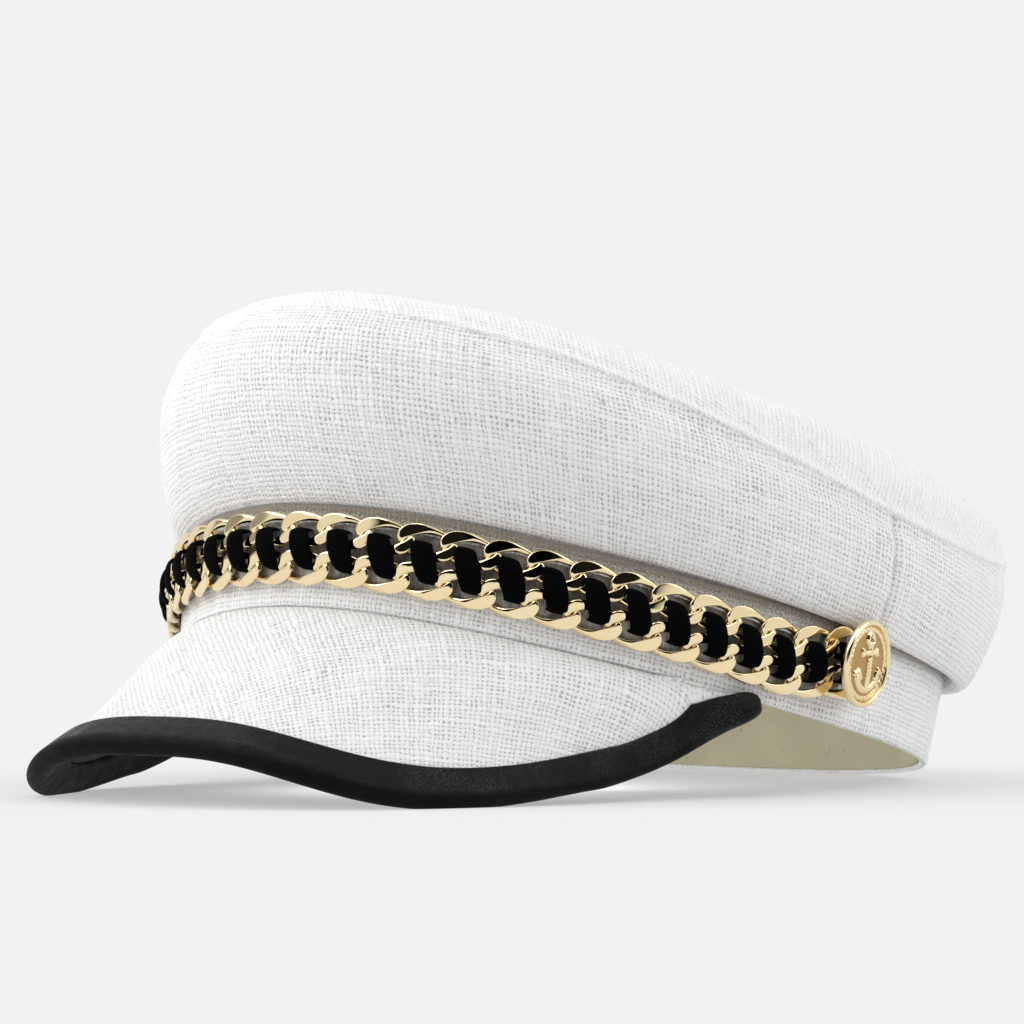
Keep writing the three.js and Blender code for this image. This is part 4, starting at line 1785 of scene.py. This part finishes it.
@dataclass
class Stitch:
    """One puffed stitch of velvet over the inner sides of a pair of links."""

    half_width: float = 2.95
    half_thick: float = 0.5
    slant: float = 0.28
    droop: float = 0.28
    corner: float = 0.75
    roundness: float = 0.9
    rows: int = 33
    columns: int = 20
    arch: tuple[tuple[float, float], ...] = (
        (4.5, -2.1),
        (4.75, -0.6),
        (4.5, 0.9),
        (3.7, 1.9),
        (2.0, 2.4),
        (0.0, 2.55),
        (-2.0, 2.4),
        (-3.7, 1.9),
        (-4.5, 0.9),
        (-4.75, -0.6),
        (-4.5, -2.1),
    )

    def mesh(self) -> bpy.types.Mesh:
        """Makes the stitch.

        Returns:
            Its mesh, in metres, across X, along Y and with its face to Z.
        """
        arch = np.array(self.arch)
        lengths = arc_lengths(arch[None], 1)[0]
        where = np.linspace(0, lengths[-1], self.rows)
        up, out = (np.interp(where, lengths, arch[:, k]) for k in (0, 1))
        for _ in range(2):
            up[1:-1] = (up[:-2] + 2 * up[1:-1] + up[2:]) / 4
            out[1:-1] = (out[:-2] + 2 * out[1:-1] + out[2:]) / 4
        line = stacked(0, up, out)
        tangent = unit(np.gradient(line, axis=0))
        normal = np.cross(tangent, stacked(1, 0, 0))
        inwards = (normal[:, 2:] < 0) & (np.abs(line[:, 1:2]) < 3)
        normal = np.where(inwards, -normal, normal)
        turn = np.arange(self.columns) * 360 / self.columns
        wide = self.half_width * (0.82 + 0.18 * np.cos(np.pi * np.clip(up / 9, -1, 1)))
        x = wide[:, None] * np.sign(cos(turn)) * np.abs(cos(turn)) ** self.corner
        thick = self.half_thick * (0.75 + 0.25 * np.cos(np.pi * np.clip(up / 6, -1, 1)))
        lift = thick[:, None] * np.sign(sin(turn)) * np.abs(sin(turn)) ** self.roundness
        droop = -self.droop * (x / self.half_width) ** 2
        points = line[:, None] + normal[:, None] * (lift + droop)[..., None]
        points[..., 0] += x - self.slant * up[:, None]
        first, last = (points[[row]] * 0 + points[row].mean(axis=0) for row in (0, -1))
        points = np.concatenate([first, points, last])
        return Grid(points, None, column_ring=True).mesh("stitch", lambda p: p * MM)


@dataclass
class Trim:
    """The two curb chains and the velvet ribbon that laces them together."""

    form: TrimForm
    place: Placement
    gold: bpy.types.Material
    velvet: bpy.types.Material
    satin: bpy.types.Material
    track_half: float = 158.0
    track_steps: int = 632
    strip_half_height: float = 6.3
    strip_out: float = -2.1
    strip_thick: float = 0.5
    strip_past: float = 2.0
    strip_puff: float = 0.35
    strip_tuck: float = 0.25
    upper_tilt: float = -4.0
    lower_tilt: float = 9.0
    stitch_variation: float = 0.04
    seed: int = 3

    def track(self) -> bpy.types.Object:
        """Makes the track.

        Returns:
            A straight line whose points carry their place and axes on the band.
        """
        along = np.linspace(-self.track_half, self.track_half, self.track_steps + 1)
        mesh = bpy.data.meshes.new("track")
        line = stacked(along, 0, 0) * MM
        mesh.from_pydata(line.tolist(), [(i, i + 1) for i in range(self.track_steps)], [])
        zero = np.zeros_like(along)
        start = self.place(self.form.point(along, zero, zero))
        axes = {
            "place": start,
            "up_axis": (self.place(self.form.point(along, zero + 1, zero)) - start) / MM,
            "out_axis": (self.place(self.form.point(along, zero, zero + 1)) - start) / MM,
        }
        for name, values in axes.items():
            layer = mesh.attributes.new(name, "FLOAT_VECTOR", "POINT")
            layer.data.foreach_set("vector", values.reshape(-1).astype(np.float32))
        return add_object("track", mesh)

    def repeat(
        self,
        tree: TrackTree,
        track: bpy.types.Object,
        name: str,
        element: bpy.types.Mesh,
        material: bpy.types.Material,
        level: float = 0.0,
        variation: float = 0.0,
    ) -> bpy.types.Object:
        """Repeats an element along the track, once at each link's middle.

        Args:
            tree: the tree that does it.
            track: the track.
            name: the name of the result.
            element: the element's mesh.
            material: its finish.
            level: how far up from the trim's middle it lies, in mm.
            variation: how much its size varies, as a share.
        Returns:
            The object.
        """
        source = add_object(name + "_element", element)
        values = {
            "Element": source,
            "Track": track,
            "Count": self.form.links,
            "Pitch": self.form.pitch * MM,
            "Half Length": self.track_half * MM,
            "Level": level * MM,
            "Variation": variation,
            "Seed": self.seed,
            "Material": material,
        }
        made = add_object(name, tree.run(name, values))
        bpy.data.objects.remove(source)
        return made

    def strip(self) -> bpy.types.Object:
        """Makes the ribbon's satin back behind the links.

        Returns:
            The object, puffed out a little in each link.
        """
        half = self.strip_half_height
        end = (self.form.links - 1) / 2 * self.form.pitch + self.strip_past
        along, up = crossed(np.linspace(-end, end, 300), np.linspace(-1, 1, 13) * half)
        link = np.cos(2 * np.pi * (along / self.form.pitch + 0.5))
        out = self.strip_out + self.strip_puff * link * (1 - (up / 8) ** 2)
        points = self.form.point(along, up, out - self.strip_tuck * (up / half) ** 4)
        grain = stacked(along, up, 0)[..., :2]
        mesh = Grid(points, grain, flip=True).mesh("ribbon_back", self.place)
        return add_cloth("ribbon_back", mesh, self.strip_thick)

    def build(self) -> list[Piece]:
        """Builds the chains and the ribbon.

        Returns:
            The two chains, the stitches and the ribbon's back.
        """
        tree = TrackTree()
        track = self.track()
        half = self.form.chain_apart / 2
        pieces = []
        chains = (("chain_upper", 1, self.upper_tilt), ("chain_lower", -1, self.lower_tilt))
        for name, side, tilt in chains:
            link = Link(tilt=tilt, inner_side=-side).mesh()
            chain = self.repeat(tree, track, name + "_links", link, self.gold, side * half)
            pieces.append(Piece(chain, self.gold, "gold", (name,)))
        stitch = Stitch().mesh()
        variation = self.stitch_variation
        made = self.repeat(tree, track, "ribbon_stitches", stitch, self.velvet, 0.0, variation)
        area, wide = surface_area(made.data) / 2, 4 * half * MM
        cut = Sheet(wide, area / wide, area, Hold.GATHERED, ("chain_upper", "chain_lower"))
        pieces.append(Piece(made, self.velvet, "velvet", ("velvet_ribbon",), cut))
        made = self.strip()
        area, wide = surface_area(made.data), 2 * self.strip_half_height * MM
        cut = Sheet(wide, area / wide, area, Hold.STRETCHED, ("band",))
        pieces.append(Piece(made, self.satin, "velvet", (), cut))
        bpy.data.objects.remove(track)
        return pieces


@dataclass
class Button:
    """A domed gold button with a rolled rim, a rope border and a plain anchor in relief."""

    band: BandForm
    place: Placement
    gold: bpy.types.Material
    radius: float = 10.4
    phi: float = 91.8
    height: float = 14.1
    out: float = 9.2
    turn_back: float = 10.0
    lean_down: float = 8.0
    rim_width: float = 1.35
    relief: float = 0.75
    scale: float = 1.32
    arm: float = 3.9
    ring: float = 1.05
    rope_in: float = 0.85
    rope_half: float = 0.6
    rope_height: float = 0.5
    rope_strands: int = 36
    ground: float = 0.09
    rings: int = 84
    spokes: int = 200

    def stroke(
        self, x: Array, y: Array, line: Sequence[tuple[float, float]], half_width: float
    ) -> Array:
        """A rounded stroke in relief.

        Args:
            x: place across the face.
            y: place up the face.
            line: the points that the stroke goes through.
            half_width: half its width.
        Returns:
            Its height, from 0 to 1.
        """
        nearest = np.full(x.shape, 1e9)
        for (ax, ay), (bx, by) in zip(line[:-1], line[1:]):
            dx, dy = bx - ax, by - ay
            share = np.clip(((x - ax) * dx + (y - ay) * dy) / (dx * dx + dy * dy), 0, 1)
            nearest = np.minimum(nearest, np.hypot(x - ax - share * dx, y - ay - share * dy))
        return np.sqrt(np.clip(1 - (nearest / half_width) ** 2, 0, 1))

    def anchor(self, x: Array, y: Array) -> Array:
        """The anchor: shank, ring, stock, arms and flukes.

        Args:
            x: place across the face.
            y: place up the face.
        Returns:
            Its height, from 0 to 1.
        """
        arm, eye = self.arm, self.ring
        arms = [(arm * float(sin(a)), -0.3 - arm * float(cos(a))) for a in range(-66, 67, 11)]
        ring = [(eye * float(sin(a)), 4.9 + eye * float(cos(a))) for a in range(0, 361, 30)]
        tips = [[(s * 4.55, -1.2), (s * 3.45, -0.5), (s * 2.6, -2.0)] for s in (-1, 1)]
        parts = [
            self.stroke(x, y, [(0, 3.9), (0, -4.3)], 0.6),
            self.stroke(x, y, [(-2.4, 2.5), (2.4, 2.5)], 0.5),
            self.stroke(x, y, ring, 0.38),
            self.stroke(x, y, arms, 0.62),
            self.stroke(x, y, [(-2.4, 2.15), (-2.4, 2.85)], 0.5),
            self.stroke(x, y, [(2.4, 2.15), (2.4, 2.85)], 0.5),
        ]
        parts += [self.stroke(x, y, tip, 0.42) for tip in tips]
        return np.max(parts, axis=0)

    def face(self, radius: Array, angle: Array) -> tuple[Array, Array]:
        """The front face.

        Args:
            radius: the distance from the middle, in mm.
            angle: the angle round the middle.
        Returns:
            Its height over its rim's plane and the height of its relief alone, in mm.
        """
        x, y = radius * sin(angle), radius * cos(angle)
        inner = self.radius - self.rim_width
        dome = 0.1 + 0.8 * (1 - (radius / inner) ** 2)
        from_rope = radius - (inner - self.rope_in)
        strands = 0.7 + 0.3 * np.sin(np.radians(angle) * self.rope_strands + from_rope * 3.2)
        rope = np.sqrt(np.clip(1 - (from_rope / self.rope_half) ** 2, 0, 1)) * strands
        anchor = self.anchor(x / self.scale, (y + 0.6) / self.scale)
        relief = np.maximum(self.relief * anchor, self.rope_height * rope)
        relief = relief + self.ground * waves(x * 3, y * 3, 4, 8, 14)
        half_rim = self.rim_width / 2
        rim = np.sqrt(np.clip(1 - ((radius - self.radius + half_rim) / half_rim) ** 2, 0, 1))
        share = smooth(radius, inner - 0.12, inner + 0.12)
        height = (dome + relief) * (1 - share) + (0.25 + 0.85 * rim) * share
        return height, relief * (1 - share) + share

    def back(self) -> tuple[Array, Array]:
        """Profile of the back and its shank.

        Returns:
            Distances from the middle and depths, in mm.
        """
        rim = [(self.radius + 0.02, -0.05), (self.radius - 0.15, -0.45), (self.radius - 0.9, -0.8)]
        shank = [(4.0, -0.95), (1.3, -1.0), (1.15, -1.6), (1.1, -4.6), (0.9, -4.9), (0.0, -4.95)]
        radius, depth = np.array(rim + shank).T
        return radius, depth

    def axes(self, side: int) -> tuple[Array, Array]:
        """How the button sits on the band.

        Args:
            side: 1 for the wearer's left and -1 for the right.
        Returns:
            Its axes, right, up and outwards, and its middle.
        """
        phi = self.phi if side > 0 else 360 - self.phi
        ring, stand = self.band.ring, self.band.stand
        outward = stand(ring(phi, 1, 0)) - stand(ring(phi, 0, 0))
        heading = math.degrees(math.atan2(outward[1], outward[0])) + side * self.turn_back
        lean = cos(self.lean_down)
        facing = np.array([cos(heading) * lean, sin(heading) * lean, -sin(self.lean_down)])
        right = unit(np.cross([0, 0, 1], facing))
        basis = np.stack([right, np.cross(facing, right), facing])
        return basis, stand(ring(phi, self.out, self.height))

    def build(self, name: str, side: int) -> Piece:
        """One button.

        Args:
            name: the CAD node that it stands for.
            side: 1 for the wearer's left and -1 for the right.
        Returns:
            The piece.
        """
        rim_rings = self.radius - self.rim_width * np.linspace(0.02, 0.98, 14)
        radius = np.sort(np.concatenate([self.radius * eased(self.rings, 0.35), rim_rings]))
        angles = np.arange(self.spokes) * 360 / self.spokes
        ring, angle = crossed(radius, angles)
        height, relief = self.face(ring, angle)
        front = stacked(ring * sin(angle), ring * cos(angle), height)
        radius, depth = self.back()
        ring, angle = crossed(radius, angles)
        back = stacked(ring * sin(angle), ring * cos(angle), depth[:, None])
        points = np.concatenate([front, back])
        grain = np.ones((len(points), self.spokes + 1, 2))
        # the relief's height goes into the grain, for the painted shade in the recesses
        grain[: len(front), : self.spokes, 1] = relief
        grain[: len(front), -1, 1] = relief[:, 0]
        basis, middle = self.axes(side)
        mesh = Grid(points @ basis + middle, grain, column_ring=True).mesh(name, self.place)
        return Piece(add_object(name + "_metal", mesh), self.gold, "gold", (name,))


# Surroundings


@dataclass(frozen=True)
class Softbox:
    """A soft round light in the surroundings, by its direction and size in degrees."""

    azimuth: float
    elevation: float
    radius: float
    edge: float
    strength: float

    def direction(self) -> tuple[float, float, float]:
        """The unit vector towards it.

        Returns:
            The vector; azimuth 0 is -Y and 90 is +X.
        """
        level = float(cos(self.elevation))
        x, y = float(sin(self.azimuth)) * level, -float(cos(self.azimuth)) * level
        return x, y, float(sin(self.elevation))


@dataclass
class Studio:
    """The photo's view of the cap: camera, seamless pale surroundings and soft light."""

    place: Placement
    azimuth: float = 37.54
    camera: tuple[float, float, float] = (931.0, -1225.74, 66.2)
    lens: float = 222.4
    sensor: float = 36.0
    backdrop: Colour = (0.888, 0.888, 0.888, 1)
    light_colour: Colour = (1, 0.995, 0.985, 1)
    floor_albedo: float = 0.69
    floor_half: float = 8.0
    sky: float = 0.73
    boxes: tuple[Softbox, ...] = (
        Softbox(-35, 42, 26, 22, 1.05),
        Softbox(-45, 4, 24, 26, 1.2),
        Softbox(128, 30, 24, 24, 1.0),
        Softbox(42, 5, 26, 35, -0.38),
    )
    mirrored_sky: float = 0.82
    mirrored_boxes: tuple[Softbox, ...] = (
        Softbox(-35, 60, 26, 8, 3.0),
        Softbox(120, 45, 22, 10, 0.9),
        Softbox(28, 24, 24, 6, -0.81),
        Softbox(64, 26, 22, 6, -0.81),
        Softbox(-70, 15, 12, 8, -0.5),
    )
    fill_size: float = 0.05
    fills: tuple[tuple[float, ...], ...] = (
        (0.0, -30.0, 24.0, 100.0, 0.056),
        (0.0, -40.0, 34.0, -35.0, 0.03),
    )

    def shoot(self) -> None:
        """Adds the camera."""
        data = bpy.data.cameras.new("camera")
        data.sensor_width = self.sensor
        data.lens = self.lens
        camera = bpy.data.objects.new("camera", data)
        camera.location = Vector(self.place(np.array(self.camera)))
        camera.rotation_euler = (math.pi / 2, 0, math.radians(self.azimuth))
        bpy.context.scene.collection.objects.link(camera)
        bpy.context.scene.camera = camera
        bpy.context.scene.view_settings.view_transform = "Standard"

    def surroundings(self, graph: Graph, where: Any, sky: float, boxes: Sequence[Softbox]) -> Socket:
        """A sky with soft boxes in it.

        Args:
            graph: the world's tree.
            where: the direction looked in.
            sky: the sky's strength.
            boxes: the soft boxes, a dark card where the strength is negative.
        Returns:
            The background's shader.
        """
        level = sky
        for box in boxes:
            facing = graph.vector("DOT_PRODUCT", where, box.direction())
            rim, core = float(cos(box.radius + box.edge)), float(cos(box.radius))
            level = graph.plus(level, graph.remap(facing, rim, core, 0, box.strength))
        inputs = {"Color": self.light_colour, "Strength": graph.math("MAXIMUM", level, 0.0)}
        return graph.add("ShaderNodeBackground", inputs).outputs[0]

    def light(self) -> None:
        """Lights the scene from a sky with soft boxes; mirrors see harder boxes and dark cards."""
        world = bpy.data.worlds.new("surroundings")
        bpy.context.scene.world = world
        world.use_nodes = True
        graph = Graph(world.node_tree)
        where = graph.add("ShaderNodeTexCoord").outputs["Generated"]
        path = graph.add("ShaderNodeLightPath").outputs
        sky = self.surroundings(graph, where, self.sky, self.boxes)
        mirrored = self.surroundings(graph, where, self.mirrored_sky, self.mirrored_boxes)
        lit = graph.add("ShaderNodeMixShader", {0: path["Is Glossy Ray"], 1: sky, 2: mirrored})
        seen = graph.add("ShaderNodeBackground", {"Color": self.backdrop})
        inputs = {0: path["Is Camera Ray"], 1: lit.outputs[0], 2: seen.outputs[0]}
        mixed = graph.add("ShaderNodeMixShader", inputs)
        graph.add("ShaderNodeOutputWorld", {0: mixed.outputs[0]})

    def fill_hollow(self) -> None:
        """Adds small soft lights under the crown, for what reaches the inside in the photo.

        Each row of fills has the place in mm, the tilt from straight down towards the back in degrees,
        and the power in watts.
        """
        for x, y, z, tilt, power in self.fills:
            data = bpy.data.lights.new("fill", "AREA")
            data.energy = power
            data.shape = "DISK"
            data.size = self.fill_size
            light = bpy.data.objects.new("fill", data)
            light.location = Vector(self.place(np.array([x, y, z])))
            light.rotation_euler = (math.radians(tilt), 0, 0)
            light.visible_camera = False
            light.visible_glossy = False
            bpy.context.scene.collection.objects.link(light)

    def ground(self) -> None:
        """Adds the pale floor, which turns into the backdrop's colour further out."""
        mesh = bpy.data.meshes.new("floor")
        half = self.floor_half
        edges = [(-half, -half, 0), (half, -half, 0), (half, half, 0), (-half, half, 0)]
        mesh.from_pydata(edges, [], [(0, 1, 2, 3)])
        floor = add_object("floor", mesh)
        material = bpy.data.materials.new("floor")
        material.use_nodes = True
        graph = Graph(material.node_tree)
        far = graph.remap(graph.vector("LENGTH", graph.place()), 0.05, 0.22, 0.2, 1.0)
        near = graph.add("ShaderNodeBsdfDiffuse", {"Color": (self.floor_albedo,) * 3 + (1,)})
        away = graph.add("ShaderNodeEmission", {"Color": self.backdrop})
        mixed = graph.add("ShaderNodeMixShader", {0: far, 1: near.outputs[0], 2: away.outputs[0]})
        graph.add("ShaderNodeOutputMaterial", {0: mixed.outputs[0]})
        mesh.materials.append(material)
        floor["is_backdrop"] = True

    def build(self) -> None:
        """Builds the surroundings."""
        self.shoot()
        self.light()
        self.fill_hollow()
        self.ground()


@dataclass
class Cap:
    """The whole cap, built from its sub-assemblies."""

    band: BandForm
    place: Placement
    pieces: list[Piece] = field(default_factory=list)

    def build(self) -> None:
        """Builds and dresses every piece."""
        band, place = self.band, self.place
        linen = Linen().material()
        gold = Gold().material()
        button = Button(band, place, SatinGold().material())
        top_linen = Linen(gap_share=0.4, relief=0.18).material()
        self.pieces += Crown(CrownForm(), place, linen, top_linen).build()
        # the band's linen carries a painted warm shadow along its upper edge
        band_linen, sweat_cloth = Linen(painted_shadow=0.9).material(), SweatCloth().material()
        self.pieces += HeadBand(band, place, band_linen, sweat_cloth).build()
        under_cloth, leather = UnderCloth().material(), Leather().material()
        self.pieces += Peak(PeakForm(), place, linen, under_cloth, leather).build()
        velvet, satin = Velvet().material(), Satin().material()
        self.pieces += Trim(TrimForm(), place, gold, velvet, satin).build()
        self.pieces += [button.build("button_left", 1), button.build("button_right", -1)]
        for piece in self.pieces:
            piece.finish()


def corners(box: Any) -> list[list[float]]:
    """A box as plain lists of numbers."""
    return [[float(value) for value in corner] for corner in box]


def main() -> None:
    """Builds the scene."""
    logging.basicConfig(level=logging.INFO, format="%(name)s: %(message)s")
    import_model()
    cad = corners(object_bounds())
    band = BandForm()
    place = Placement(band)
    Studio(place).build()
    Cap(band, place).build()
    {"cad": cad, "visual": corners(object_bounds())}


if __name__ == "__main__":
    main()
